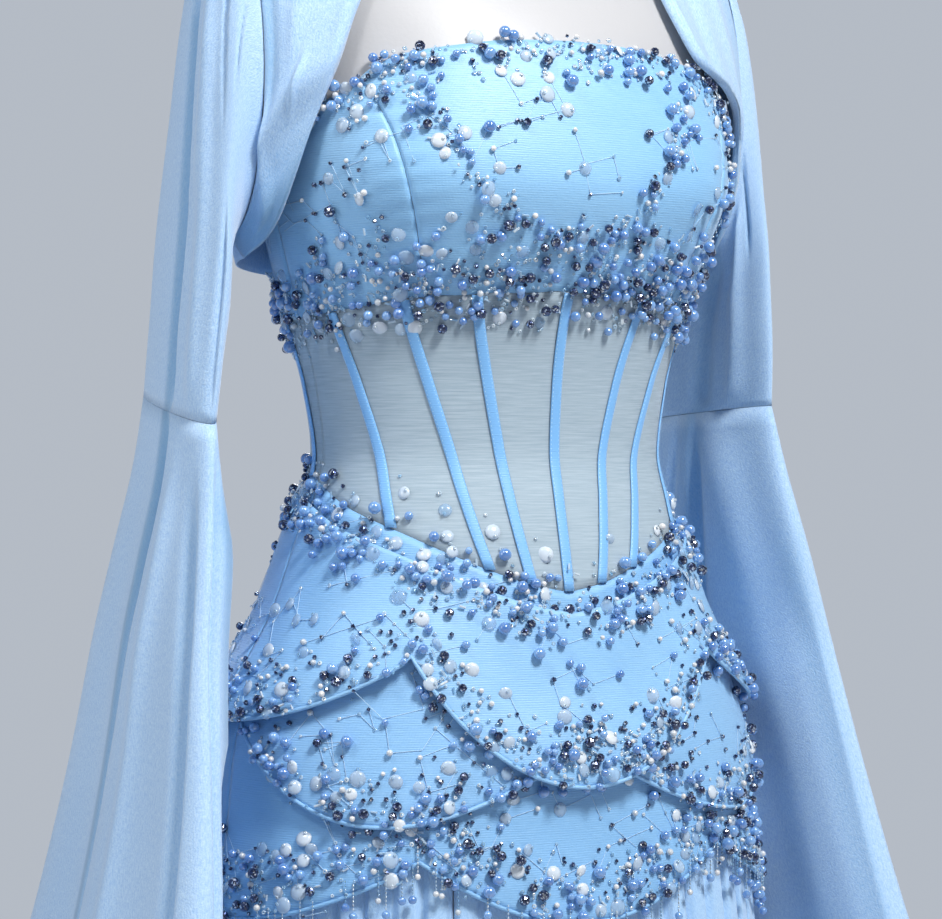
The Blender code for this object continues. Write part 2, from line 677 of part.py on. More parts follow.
def make_shrug():
    """The open shrug's back and its two fronts, which hang differently."""
    cloth("shrug_back", shrug_back(), CHIFFON, "chiffon")
    cloth("shrug_front_R", shrug_front(1), CHIFFON, "chiffon")
    cloth("shrug_front_L", mirrored(shrug_front(-1)), CHIFFON, "chiffon")


def make_form():
    """The smooth torso inside the dress, its neck cap, pole and base plate."""
    angles = np.arange(FORM_COLUMNS) * 360 / FORM_COLUMNS
    torso = []
    for height in FORM_HEIGHTS:
        inset = FORM_INSET.at("inset", height)
        ring = body_surface(angles, height, -inset + 0 * angles)
        ring[:, 2] = height
        torso.append(ring)
    turned("form_torso", torso, "form")
    low = FORM_NECK + SEAM
    dome = [circle(CAP_RADIUS * wide, low + CAP_TALL * tall) for wide, tall in CAP_PROFILE]
    turned("form_neck_cap", dome, "steel")
    pole = [circle(POLE_RADIUS, BASE_TALL + SEAM), circle(POLE_RADIUS, FORM_FOOT - SEAM)]
    turned("form_pole", pole, "steel")
    plate = [circle(BASE_RADIUS, 0), circle(BASE_RADIUS, BASE_TALL - BASE_EDGE)]
    plate += [circle(BASE_RADIUS - BASE_EDGE, BASE_TALL)]
    turned("form_base", plate, "steel")


def main():
    for old in list(bpy.data.objects):
        bpy.data.objects.remove(old, do_unlink=True)
    make_form()
    make_bodice()
    make_midriff()
    make_channels()
    make_zip()
    make_tiers()
    make_skirt()
    make_shrug()
    make_sleeves()


main()
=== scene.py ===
import bpy
import numpy as np
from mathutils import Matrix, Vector


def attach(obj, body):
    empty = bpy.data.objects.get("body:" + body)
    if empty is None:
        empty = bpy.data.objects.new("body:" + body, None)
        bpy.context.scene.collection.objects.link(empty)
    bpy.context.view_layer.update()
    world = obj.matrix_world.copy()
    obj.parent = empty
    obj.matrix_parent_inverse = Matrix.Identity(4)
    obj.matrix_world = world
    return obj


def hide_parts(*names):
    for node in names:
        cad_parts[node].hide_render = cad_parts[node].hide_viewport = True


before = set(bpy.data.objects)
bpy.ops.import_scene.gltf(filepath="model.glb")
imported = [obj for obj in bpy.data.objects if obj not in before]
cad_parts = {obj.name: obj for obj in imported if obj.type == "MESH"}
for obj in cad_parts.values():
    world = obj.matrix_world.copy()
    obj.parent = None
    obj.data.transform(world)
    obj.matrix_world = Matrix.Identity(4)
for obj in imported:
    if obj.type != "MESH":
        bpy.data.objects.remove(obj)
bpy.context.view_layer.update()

# STUDIO
# A level camera a little to the left of the dress's front, two metres away, sees it from
# the shoulders to the hips. A pale floor, a pale room and four soft lamps.
CAMERA_TURN = -29.0
CAMERA_AWAY = 2.0
CAMERA_HEIGHT = 1.015
CAMERA_ASIDE = -0.0081
LENS_MM, SENSOR_MM = 122.3, 36.0

camera_turn = np.radians(CAMERA_TURN)
toward_camera = np.array((np.sin(camera_turn), -np.cos(camera_turn), 0.0))
to_the_right = np.array((np.cos(camera_turn), np.sin(camera_turn), 0.0))
eye = toward_camera * CAMERA_AWAY + to_the_right * CAMERA_ASIDE
camera = bpy.data.objects.new("camera", bpy.data.cameras.new("camera"))
camera.data.lens = LENS_MM
camera.data.sensor_width = SENSOR_MM
camera.location = (eye[0], eye[1], CAMERA_HEIGHT)
camera.rotation_euler = (np.pi / 2, 0.0, camera_turn)
bpy.context.collection.objects.link(camera)
bpy.context.scene.camera = camera

LAMPS = (
    # name, place, aims at, width and height, watts, colour
    ("key_lamp", (0.3, -1.95, 3.15), (0.0, 0.0, 1.05), (0.7, 0.7), 94.0, (1.0, 0.99, 0.97)),
    ("top_left_lamp", (-1.8, -0.6, 3.4), (0.0, 0.0, 1.0), (0.7, 0.7), 22.0, (1.0, 1.0, 1.0)),
    ("left_lamp", (-2.7, 0.3, 1.6), (-0.2, 0.0, 1.0), (1.0, 1.6), 15.0, (0.95, 0.975, 1.0)),
    ("back_lamp", (1.6, 2.3, 2.2), (0.0, 0.0, 1.0), (1.6, 1.6), 36.0, (1.0, 1.0, 1.0)),
)
for name, stands_at, target, size, watts, colour in LAMPS:
    lamp = bpy.data.lights.new(name, "AREA")
    lamp.shape = "RECTANGLE"
    lamp.size, lamp.size_y = size
    lamp.energy = watts
    lamp.color = colour
    holder = bpy.data.objects.new(name, lamp)
    holder.location = stands_at
    aim = Vector(target) - Vector(stands_at)
    holder.rotation_euler = aim.to_track_quat("-Z", "Y").to_euler()
    bpy.context.collection.objects.link(holder)


class Wire:
    """An output socket in a tree of shader nodes, for use in plain sums."""

    def __init__(self, nodes, socket):
        self.nodes = nodes
        self.socket = socket

    def sum_of(self, operation, first, second):
        return self.nodes.node("ShaderNodeMath", {"operation": operation}, {0: first, 1: second})

    def __add__(self, other):
        return self.sum_of("ADD", self, other)

    def __sub__(self, other):
        return self.sum_of("SUBTRACT", self, other)

    def __mul__(self, other):
        return self.sum_of("MULTIPLY", self, other)

    def __truediv__(self, other):
        return self.sum_of("DIVIDE", self, other)

    def __rsub__(self, other):
        return self.sum_of("SUBTRACT", other, self)

    __radd__ = __add__
    __rmul__ = __mul__

    def sine(self):
        return self.sum_of("SINE", self, 0.0)

    def size(self):
        return self.sum_of("ABSOLUTE", self, 0.0)

    def least(self, other):
        return self.sum_of("MINIMUM", self, other)

    def most(self, other):
        return self.sum_of("MAXIMUM", self, other)


class Nodes:
    """A tree of shader nodes. Each node in it comes from the one method."""

    def __init__(self, tree):
        self.tree = tree

    def node(self, kind, settings=None, inputs=None, output=0):
        made = self.tree.nodes.new(kind)
        for setting, value in (settings or {}).items():
            setattr(made, setting, value)
        for socket, value in (inputs or {}).items():
            if isinstance(value, Wire):
                self.tree.links.new(value.socket, made.inputs[socket])
            else:
                made.inputs[socket].default_value = value
        return Wire(self, made.outputs[output])

    def parts(self, vector):
        split = self.node("ShaderNodeSeparateXYZ", {}, {0: vector})
        return [Wire(self, split.socket.node.outputs[i]) for i in range(3)]

    def mix(self, share, first, second):
        """A colour between two others."""
        colours = {6: first, 7: second}
        for socket, colour in colours.items():
            colours[socket] = colour if isinstance(colour, Wire) else (*colour, 1.0)
        return self.node("ShaderNodeMix", {"data_type": "RGBA"}, {0: share, **colours}, 2)

    def smooth_step(self, value, low, high):
        """A smooth step from 0 where the value is low to 1 where it is high."""
        inputs = {"Value": value, "From Min": low, "From Max": high}
        return self.node("ShaderNodeMapRange", {"interpolation_type": "SMOOTHSTEP"}, inputs)


class Paint(Nodes):
    """One material: constants set on its shader, and wires for what changes over a piece."""

    def __init__(self, name, **constants):
        self.material = bpy.data.materials.new(name)
        self.material.use_nodes = True
        super().__init__(self.material.node_tree)
        self.shader = self.tree.nodes["Principled BSDF"]
        for socket, value in constants.items():
            self.shader.inputs[socket.replace("_", " ")].default_value = value

    def feed(self, socket, wire):
        self.tree.links.new(wire.socket, self.shader.inputs[socket])

    def here(self):
        """Object coordinates."""
        return self.node("ShaderNodeTexCoord", {}, {}, "Object")

    def along_cloth(self):
        """The piece's own map, in metres across and up the cloth."""
        return self.node("ShaderNodeUVMap", {"uv_map": "cloth"})

    def of_point(self, name):
        """A number that each point of the piece holds."""
        return self.node("ShaderNodeAttribute", {"attribute_name": name}, {}, "Fac")

    def stretched(self, place, scales):
        """A place whose three directions are scaled, for patterns that run one way."""
        return self.node("ShaderNodeMapping", {}, {"Vector": place, "Scale": scales})

    def noise(self, place, scale, detail=3.0, roughness=0.5):
        inputs = {"Vector": place, "Scale": scale, "Detail": detail, "Roughness": roughness}
        return self.node("ShaderNodeTexNoise", {"normalize": True}, inputs, "Fac")

    def bump(self, height, strength, distance):
        inputs = {"Height": height, "Strength": strength, "Distance": distance}
        self.feed("Normal", self.node("ShaderNodeBump", {}, inputs))


# The room is pale behind the dress and dimmer elsewhere, so that the cloth keeps its shade.
# It turns from dim to pale as the view gets level, and as it turns to face the dress.
ROOM_PALE, ROOM_DIM = (0.46, 0.50, 0.56), (0.10, 0.12, 0.155)
STEEP_AND_LEVEL, ASIDE_AND_BEHIND = (0.50, 0.15), (-1.8, 0.8)
room = bpy.data.worlds.new("room")
room.use_nodes = True
sky = Nodes(room.node_tree)
way = sky.node("ShaderNodeTexCoord", {}, {}, "Generated")
_, _, steep = sky.parts(way)
from_camera = {0: way, 1: -toward_camera}
behind = sky.node("ShaderNodeVectorMath", {"operation": "DOT_PRODUCT"}, from_camera, "Value")
level = sky.smooth_step(steep.size(), *STEEP_AND_LEVEL)
facing = sky.smooth_step(behind, *ASIDE_AND_BEHIND)
tone = sky.mix(level * facing, ROOM_DIM, ROOM_PALE)
sky.tree.links.new(tone.socket, sky.tree.nodes["Background"].inputs["Color"])
bpy.context.scene.world = room
bpy.context.scene.view_settings.view_transform = "Standard"

FLOOR_RADIUS, FLOOR_SIDES, FLOOR_FADE = 4.5, 96, 2.2
around = np.linspace(0, 2 * np.pi, FLOOR_SIDES, endpoint=False)
rim = FLOOR_RADIUS * np.stack([np.cos(around), np.sin(around), 0 * around], axis=-1)
floor_mesh = bpy.data.meshes.new("floor")
floor_mesh.from_pydata(rim.tolist(), [], [tuple(range(FLOOR_SIDES))])
floor = bpy.data.objects.new("floor", floor_mesh)
bpy.context.collection.objects.link(floor)
pale = Paint("pale_floor", Roughness=0.85)
place = pale.here()
pale.feed("Base Color", pale.mix(pale.noise(place, 1.3), (0.62, 0.64, 0.67), (0.68, 0.70, 0.73)))
across, along, _ = pale.parts(place)
away = (across * across + along * along) / FLOOR_RADIUS ** 2
pale.feed("Alpha", ((1.0 - away) * FLOOR_FADE).most(0.0).least(1.0))
floor_mesh.materials.append(pale.material)

# DRESS FORM
# A limbless women's form of white moulded shell, smooth and whole under the dress, with
# a metal cap on its neck, on a brushed steel pole that screws into a round base plate.
MM = 0.001


class Table:
    """A short table with named columns, read smoothly anywhere along its first column."""

    def __init__(self, columns, rows):
        self.columns = columns.split()
        self.rows = np.array(rows, dtype=float)

    def at(self, name, place):
        """Read one column at a place with a curve that never overshoots its rows."""
        xs = self.rows[:, 0]
        ys = self.rows[:, self.columns.index(name)]
        steps = np.diff(xs)
        slopes = np.diff(ys) / steps
        tangents = np.zeros(len(xs))
        tangents[0] = slopes[0]
        tangents[-1] = slopes[-1]
        for i in range(1, len(xs) - 1):
            if slopes[i - 1] * slopes[i] > 0:
                before = 2 * steps[i] + steps[i - 1]
                after = steps[i] + 2 * steps[i - 1]
                tangents[i] = (before + after) / (before / slopes[i - 1] + after / slopes[i])
        place = np.clip(place, xs[0], xs[-1])
        i = np.clip(np.searchsorted(xs, place) - 1, 0, len(xs) - 2)
        t = (place - xs[i]) / steps[i]
        start = (1 + 2 * t) * (1 - t) ** 2 * ys[i] + t * (1 - t) ** 2 * steps[i] * tangents[i]
        end = t * t * (3 - 2 * t) * ys[i + 1] + t * t * (t - 1) * steps[i] * tangents[i + 1]
        return start + end


BODY = Table("height half_width front back", (
    (0.660, 0.176, 0.118, 0.134), (0.700, 0.183, 0.124, 0.140), (0.750, 0.1805, 0.122, 0.139),
    (0.800, 0.176, 0.119, 0.136), (0.840, 0.172, 0.117, 0.133), (0.870, 0.164, 0.114, 0.126),
    (0.900, 0.153, 0.110, 0.117), (0.930, 0.140, 0.105, 0.107), (0.960, 0.129, 0.099, 0.097),
    (0.990, 0.119, 0.092, 0.087), (1.020, 0.112, 0.086, 0.081), (1.060, 0.117, 0.089, 0.086),
    (1.100, 0.128, 0.098, 0.092), (1.140, 0.139, 0.116, 0.096), (1.180, 0.149, 0.128, 0.100),
    (1.220, 0.152, 0.122, 0.103), (1.270, 0.152, 0.104, 0.104), (1.300, 0.152, 0.088, 0.102),
    (1.330, 0.148, 0.075, 0.094), (1.350, 0.136, 0.066, 0.084), (1.370, 0.106, 0.060, 0.074),
    (1.390, 0.070, 0.056, 0.064), (1.405, 0.058, 0.053, 0.060), (1.440, 0.054, 0.050, 0.056),
))
FULLNESS = 0.07
CUP_RISE, CUP_HEIGHT, CUP_TALL, CUP_ANGLE, CUP_WIDE = 0.055, 1.185, 0.042, 40.0, 20.0


def off_front(angle):
    """The angle away from the centre front, 0 to 180."""
    return np.abs((np.asarray(angle, float) + 180) % 360 - 180)


def body_point(angle, height):
    """The figure's surface at an angle round it and a height."""
    around = np.radians(angle)
    sine, cosine = np.sin(around), np.cos(around)
    depth = np.where(cosine > 0, BODY.at("front", height), BODY.at("back", height))
    x = BODY.at("half_width", height) * sine * (1 + FULLNESS * cosine ** 2)
    y = -depth * cosine * (1 + FULLNESS * sine ** 2)
    cup = CUP_RISE * np.exp(-((height - CUP_HEIGHT) / CUP_TALL) ** 2)
    cup = 1 + cup * np.exp(-((off_front(angle) - CUP_ANGLE) / CUP_WIDE) ** 2)
    return np.stack([x * cup, y * cup, height + 0 * x], axis=-1)


def body_surface(angle, height, lift, with_normal=False):
    """The figure's surface moved out along its normal."""
    angle, height = np.broadcast_arrays(np.asarray(angle, float), np.asarray(height, float))
    round_way = body_point(angle + 0.2, height) - body_point(angle - 0.2, height)
    up_way = body_point(angle, height + 0.0005) - body_point(angle, height - 0.0005)
    normal = np.cross(round_way, up_way)
    normal /= np.linalg.norm(normal, axis=-1, keepdims=True)
    points = body_point(angle, height) + normal * np.asarray(lift)[..., None]
    return (points, normal) if with_normal else points


def turned(name, rings):
    """A smooth closed solid through rings of points, from the lowest up."""
    count = len(rings[0])
    faces = [tuple(reversed(range(count)))]
    for row in range(len(rings) - 1):
        for i in range(count):
            low, after = row * count, (i + 1) % count
            faces.append((low + i, low + after, low + count + after, low + count + i))
    faces.append(tuple(range((len(rings) - 1) * count, len(rings) * count)))
    mesh = bpy.data.meshes.new(name)
    mesh.from_pydata(np.concatenate(rings).tolist(), [], faces)
    piece = bpy.data.objects.new(name, mesh)
    bpy.context.collection.objects.link(piece)
    mesh.shade_smooth()
    return piece


def hand_over(piece, paint, replaced=()):
    """Give a finished piece its material, attach it to the root, and hide the parts it replaces."""
    piece.data.materials.clear()
    piece.data.materials.append(paint.material)
    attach(piece, "root")
    if replaced:
        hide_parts(*replaced)
    return piece


FORM_SIDES = 72
# The rings' lowest and greatest height and their number, in the turned-in foot and above it.
FORM_RINGS = ((0.745, 0.790, 8), (0.800, 1.425, 90))
FORM_INSET = Table("height inset", (
    (0.745, 0.026), (0.752, 0.015), (0.780, 0.011), (0.825, 0.010), (0.860, 0.0036),
    (0.960, 0.0030), (1.000, 0.0024), (1.425, 0.0024),
))
angles = np.arange(FORM_SIDES) * 360 / FORM_SIDES
torso = []
for height in np.concatenate([np.linspace(*rings) for rings in FORM_RINGS]):
    torso.append(body_surface(angles, height, -FORM_INSET.at("inset", height) + 0 * angles))
    torso[-1][:, 2] = height
shell = Paint("white_form_shell", Roughness=0.46, Coat_Weight=0.08, Coat_Roughness=0.35)
place = shell.here()
mottle = shell.noise(place, 6.0, 4.0)
grain = shell.noise(place, 420.0, 2.0)
shell.feed("Base Color", shell.mix(mottle, (0.50, 0.50, 0.515), (0.55, 0.55, 0.565)))
shell.bump(grain + mottle * 0.6, 0.10, 0.0008)
hand_over(turned("form_shell_body", torso), shell, ["form_torso"])


def round_ring(radius, height, count=64):
    """A level ring of points."""
    around = np.arange(count) * 2 * np.pi / count
    return np.stack([radius * np.sin(around), -radius * np.cos(around), height + 0 * around], axis=-1)


steel = Paint("brushed_stand_steel", Metallic=1.0)
place = steel.here()
brushed = steel.noise(steel.stretched(place, (90.0, 90.0, 900.0)), 1.0, 2.0)
steel.feed("Base Color", steel.mix(brushed, (0.55, 0.56, 0.58), (0.68, 0.69, 0.71)))
steel.feed("Roughness", brushed * 0.16 + 0.22)
CRISP_EDGE = 50.0
STAND = {
    # piece: the node it stands for, and its turned profile as radii and heights
    "neck_cap": ("form_neck_cap", (
        (0.044, 1.4253), (0.046, 1.4262), (0.046, 1.4335), (0.0455, 1.4365), (0.0435, 1.4392),
        (0.040, 1.4405), (0.036, 1.4412))),
    "stand_pole": ("form_pole", (
        (0.0125, 0.0143), (0.0125, 0.200), (0.0125, 0.500), (0.0125, 0.7447))),
    "stand_base_plate": ("form_base", (
        (0.1885, 0.0), (0.190, 0.0012), (0.190, 0.0095), (0.1892, 0.0118), (0.1872, 0.0135),
        (0.1850, 0.0140))),
}
for name, (node, profile) in STAND.items():
    piece = turned(name, [round_ring(radius, height) for radius, height in profile])
    edges = piece.modifiers.new("crisp_ends", "EDGE_SPLIT")
    edges.split_angle = np.radians(CRISP_EDGE)
    hand_over(piece, steel, [node])

# STRAPLESS BODICE
# Firm ribbed satin, cut as a front between two princess seams, two sides and two backs,
# eased over the bust and seamed under it to a band. Each seam is turned in a little.
SATIN, SEAM = 1.2 * MM, 0.3 * MM
SIDE_SEAM, CENTRE_BACK = 90.0, 180.0
ZIP_WIDTH = 4.0 * MM
NARROWEST_SHEET, LEAST_CUT_SHARE = 0.010, 0.3
PANEL_ROUNDS, TUCK_REACH = 6, 1.6 * MM
BODICE_TOP = Table("angle height", (
    (0, 1.2645), (12, 1.2635), (29, 1.258), (40, 1.253), (49, 1.245), (56, 1.234),
    (70, 1.222), (90, 1.214), (130, 1.206), (180, 1.204),
))
BAND_EDGE = Table("angle height", (
    (0, 1.115), (38, 1.111), (72, 1.103), (100, 1.100), (140, 1.100), (180, 1.102),
))
PRINCESS = Table("height angle", (
    (1.100, 38.0), (1.115, 38.5), (1.132, 40.0), (1.157, 41.0), (1.177, 42.0),
    (1.201, 44.0), (1.222, 48.0), (1.242, 54.0), (1.260, 60.0),
))


def degrees_for(distance, angle, height):
    """How many degrees round the body a distance covers there."""
    step = body_point(angle + 0.5, height) - body_point(angle - 0.5, height)
    return distance / np.linalg.norm(step, axis=-1)


# Radians a metre: the satin's ribs are 1.4 mm apart, and its threads 0.8 mm.
RIB_TURNS, THREAD_TURNS = 4600.0, 7600.0


def satin_finish(name, deep, pale):
    """Ribbed satin: a fine level rib, a soft sheen and slow changes of blue."""
    paint = Paint(name, Sheen_Weight=0.30, Sheen_Roughness=0.4, Specular_IOR_Level=0.6)
    place = paint.here()
    across, _, _ = paint.parts(paint.along_cloth())
    _, _, level = paint.parts(place)
    wander = paint.noise(place, 30.0, 2.0)
    rib = (level * RIB_TURNS + wander * 5.0).sine()
    thread = (across * THREAD_TURNS + wander * 5.0).sine()
    slub = paint.noise(paint.stretched(place, (150.0, 150.0, 1500.0)), 1.0, 3.0, 0.6)
    slow = paint.noise(place, 9.0, 3.0)
    grain = paint.noise(place, 1300.0, 2.0, 0.6)
    weft = (slub - 0.5) * 1.1 + (grain - 0.5) * 1.3 + rib * 0.16
    tone = paint.mix((slow * 0.5 + weft * 0.5 + 0.25).most(0.0).least(1.0), deep, pale)
    paint.feed("Base Color", tone)
    paint.feed("Roughness", 0.34 + slub * 0.22)
    paint.bump(rib * 0.16 + thread * 0.08 + slub * 1.1, 0.5, 0.35 * MM)
    return paint


def grid_mesh(name, points, closed=False, painted_shade=None):
    """A sheet through rows of points that run up and columns that run round, with its map.

    Its last argument gives each point's painted shade, 0 to 1, which colours the cloth darker there.
    """
    rows, columns = points.shape[:2]
    across = np.linalg.norm(np.diff(points, axis=1), axis=-1).cumsum(axis=1)
    across = np.concatenate([np.zeros((rows, 1)), across], axis=1)
    if closed:
        last = np.linalg.norm(points[:, 0] - points[:, -1], axis=-1)
        across = np.concatenate([across, across[:, -1:] + last[:, None]], axis=1)
    across = across - across[:, -1:] / 2
    up = np.linalg.norm(np.diff(points, axis=0), axis=-1).cumsum(axis=0)
    up = np.concatenate([np.zeros((1, columns)), up], axis=0)
    if closed:
        up = np.concatenate([up, up[:, :1]], axis=1)
    faces, corners = [], []
    for row in range(rows - 1):
        for column in range(columns if closed else columns - 1):
            after = (column + 1) % columns
            faces.append((row * columns + column, row * columns + after,
                          (row + 1) * columns + after, (row + 1) * columns + column))
            corners += [(row, column), (row, column + 1), (row + 1, column + 1), (row + 1, column)]
    mesh = bpy.data.meshes.new(name)
    mesh.from_pydata(points.reshape(-1, 3).tolist(), [], faces)
    row, column = np.array(corners).T
    flat = np.stack([across[row, column], up[row, column]], axis=-1).astype(np.float32)
    mesh.uv_layers.new(name="cloth").data.foreach_set("uv", flat.ravel())
    # Each point's painted shade, kept as a number that the chiffon turns to a darker blue.
    if painted_shade is not None:
        depth = mesh.attributes.new("painted_shade", "FLOAT", "POINT")
        depth.data.foreach_set("value", painted_shade.astype(np.float32).ravel())
    mesh.shade_smooth()
    piece = bpy.data.objects.new(name, mesh)
    bpy.context.collection.objects.link(piece)
    return piece


def cut_size(points, closed=False):
    """Width, length and area of the flat cloth that a sheet of points was cut from."""
    ring = np.concatenate([points, points[:, :1]], axis=1) if closed else points
    width = np.linalg.norm(np.diff(ring, axis=1), axis=-1).sum(axis=1).max()
    length = np.linalg.norm(np.diff(ring, axis=0), axis=-1).sum(axis=0).max()
    a, b = ring[1:, :-1] - ring[:-1, :-1], ring[:-1, 1:] - ring[:-1, :-1]
    c, d = ring[:-1, 1:] - ring[1:, 1:], ring[1:, :-1] - ring[1:, 1:]
    area = np.linalg.norm(np.cross(a, b), axis=-1) + np.linalg.norm(np.cross(c, d), axis=-1)
    return float(width), float(length), float(area.sum() / 2)


def cloth(name, points, thickness, paint, replaced, closed=False,
          painted_shade=None):
    """A cloth wall under its outer points, handed over."""
    piece = grid_mesh(name, points, closed, painted_shade)
    wall = piece.modifiers.new("wall", "SOLIDIFY")
    wall.thickness = thickness
    wall.offset = -1
    wall.use_even_offset = False
    wall.use_rim = True
    hand_over(piece, paint, replaced)
    width, length, area = cut_size(points, closed)
    area = min(max(area, LEAST_CUT_SHARE * width * length), width * length)
    return piece


def panel(left, right, bottom, top, columns, rows, lift, stops=(), gap=SEAM, tuck=0.0):
    """Points of a panel between two side lines and two edges, half a seam inside them.

    The sides turn in by tuck, and stops are angles where a column must lie. Side lines
    depend on the height and edges on the angle, so a few rounds settle the points.
    """
    shares = np.linspace(0, 1, columns)
    if stops:
        marks = [left(0), *stops, right(0)]
        whole = marks[-1] - marks[0]
        runs = [marks[:1]]
        for a, b in zip(marks, marks[1:]):
            count = max(2, round((b - a) / whole * (columns - 1)))
            runs.append(np.linspace(a, b, count + 1)[1:])
        shares = (np.concatenate(runs) - marks[0]) / whole
    share, climb = np.meshgrid(shares, np.linspace(0, 1, rows))
    height = np.full(share.shape, 1.0)
    for _ in range(PANEL_ROUNDS):
        start = left(height) + degrees_for(gap / 2, left(height), height)
        end = right(height) - degrees_for(gap / 2, right(height), height)
        angle = start + (end - start) * share
        low, high = bottom(angle) + gap / 2, top(angle) - gap / 2
        height = low + (high - low) * climb
    from_side = np.minimum(angle - start, end - angle) / degrees_for(1.0, angle, height)
    turned_in = tuck * np.exp(-(from_side / TUCK_REACH) ** 2)
    return body_surface(angle, height, lift(angle, height) - turned_in)


def fixed(value):
    """A side line that stays at one angle at every height."""
    return lambda height: value + 0 * np.asarray(height, float)


def zip_side(height):
    """Side line of the back panels, beside the zip."""
    return CENTRE_BACK - degrees_for(ZIP_WIDTH / 2, CENTRE_BACK, height)


def flat_lift(angle, height):
    """A panel that is part of the figure's surface itself."""
    return 0 * angle


def line(table):
    """One of the lines round the dress as a function of the angle."""
    return lambda angle: table.at("height", off_front(angle))


def mirrored(points):
    """The same panel on the other side of the centre line."""
    return points[:, ::-1] * (-1, 1, 1)


# Columns and rows of points in each panel, and how deep its seams turn in.
FRONT_GRID, SIDE_GRID, BACK_GRID = (97, 45), (41, 45), (41, 31)
TUCK, BACK_TUCK = 0.9 * MM, 0.6 * MM
PULL_DEPTH, PULL_TURNS, PULL_REACH = 0.35 * MM, 520, 9.0
EASE_DEPTH, EASE_WAVES, EASE_TALL = 0.9 * MM, 21, 0.05


def puckers(angle, height):
    """Small pulls in the satin beside the princess seams, and ease above the band."""
    near = np.exp(-((off_front(angle) - right_princess(height)) / PULL_REACH) ** 2)
    pull = np.sin((height - 1.1) * PULL_TURNS + off_front(angle) * 0.25) * PULL_DEPTH
    low = np.clip(1 - (height - line(BAND_EDGE)(angle)) / EASE_TALL, 0, 1) ** 2
    uneven = 40 * np.sin(np.radians(angle * 3))
    ease = np.sin(np.radians(angle * EASE_WAVES + uneven)) * EASE_DEPTH
    return pull * near + ease * low


def right_princess(height):
    """The princess seam on the right."""
    return PRINCESS.at("angle", height)


def left_princess(height):
    """The princess seam on the left."""
    return -PRINCESS.at("angle", height)


satin = satin_finish("ribbed_bodice_satin", (0.22, 0.50, 0.84), (0.36, 0.64, 0.90))
bottom, top = line(BAND_EDGE), line(BODICE_TOP)
points = panel(left_princess, right_princess, bottom, top, *FRONT_GRID, puckers, tuck=TUCK)
cloth("bodice_front_panel", points, SATIN, satin, ["bodice_front"])
side_seam = fixed(SIDE_SEAM)
for part, points in (
    ("side", panel(right_princess, side_seam, bottom, top, *SIDE_GRID, puckers, tuck=TUCK)),
    ("back", panel(side_seam, zip_side, bottom, top, *BACK_GRID, flat_lift, tuck=BACK_TUCK)),
):
    for side, shape in (("R", points), ("L", mirrored(points))):
        cloth(f"bodice_{part}_panel_{side}", shape, SATIN, satin,
              [f"bodice_{part}_{side}"])

# NET MIDRIFF
# One layer of fine sheer net, stretched from the band to the basque line. Its threads
# are finer than a step away shows, so the net is whole and see-through in the material.
NET, NET_FRONT_GRID, NET_BACK_GRID = 1.0 * MM, (97, 25), (49, 21)
# Radians a metre: the upright threads are 0.6 mm apart, and the level ones 0.8 mm.
WARP_TURNS, WEFT_TURNS = 5400.0, 3900.0
BASQUE = Table("angle height", (
    (0, 0.936), (10, 0.941), (20, 0.949), (35, 0.962), (46, 0.971), (67, 0.985),
    (98, 1.005), (140, 1.010), (180, 1.007),
))
net = Paint("sheer_grey_blue_net", Roughness=0.72, Sheen_Weight=0.25, Sheen_Roughness=0.5)
place = net.here()
across, _, _ = net.parts(net.along_cloth())
_, _, level = net.parts(place)
waver = net.noise(place, 25.0, 2.0)
warp = (across * WARP_TURNS + waver * 2.0).sine().size()
weft = (level * WEFT_TURNS + waver * 4.0).sine().size()
streaks = net.noise(net.stretched(place, (45.0, 45.0, 1300.0)), 1.0, 3.0, 0.6)
net.feed("Base Color", net.mix(streaks, (0.40, 0.54, 0.65), (0.66, 0.78, 0.86)))
net.feed("Alpha", 0.46 + warp * weft * 0.16 + streaks * 0.20)
net.bump(warp * 0.4 + weft * 0.5 + streaks, 0.25, 0.3 * MM)
bottom, top = line(BASQUE), line(BAND_EDGE)
points = panel(fixed(-SIDE_SEAM), side_seam, bottom, top, *NET_FRONT_GRID, flat_lift)
cloth("midriff_net_front_panel", points, NET, net, ["midriff_net_front"])
points = panel(side_seam, zip_side, bottom, top, *NET_BACK_GRID, flat_lift)
for side, shape in (("R", points), ("L", mirrored(points))):
    cloth(f"midriff_net_back_panel_{side}", shape, NET, net,
          [f"midriff_net_back_{side}"])

# BONING CHANNELS
# Flat satin tapes over the bones, seven millimetres wide, that fan out from the basque
# line to the band. Each is sewn down along both edges, so it is fullest in the middle.
CHANNELS = {
    # name: angles of its line at the band, half way and at the basque line
    "centre": (0.0, 0.0, 0.0), "1": (24.5, 18.5, 9.5), "2": (45.0, 36.0, 20.5),
    "3": (71.0, 63.0, 50.5), "4": (104.0, 102.0, 97.0), "5": (134.0, 132.0, 129.0),
    "6": (160.0, 159.0, 157.0),
}
CHANNEL_WIDTH, CHANNEL_ROWS, TAPE, TAPE_WALL = 7.0 * MM, 31, 1.0 * MM, 0.6 * MM
STITCH_LINE, STITCH_WIDTH, STITCH_TURNS = 2.6 * MM, 0.4 * MM, 2400.0
CHANNEL_SECTION = (0.0, 0.45, 0.75, 0.90, 0.97, 1.0, 0.97, 0.90, 0.75, 0.45, 0.0)
tape = satin_finish("boning_channel_satin", (0.24, 0.52, 0.82), (0.42, 0.70, 0.94))
across, up, _ = tape.parts(tape.along_cloth())
stitch = (up * STITCH_TURNS).sine().most(0.0)
on_line = (1 - ((across.size() - STITCH_LINE).size() / STITCH_WIDTH)).most(0.0)
stitched = (stitch * on_line).least(1.0)
tape.feed("Base Color", tape.mix(stitched, (0.22, 0.51, 0.90), (0.50, 0.76, 1.0)))


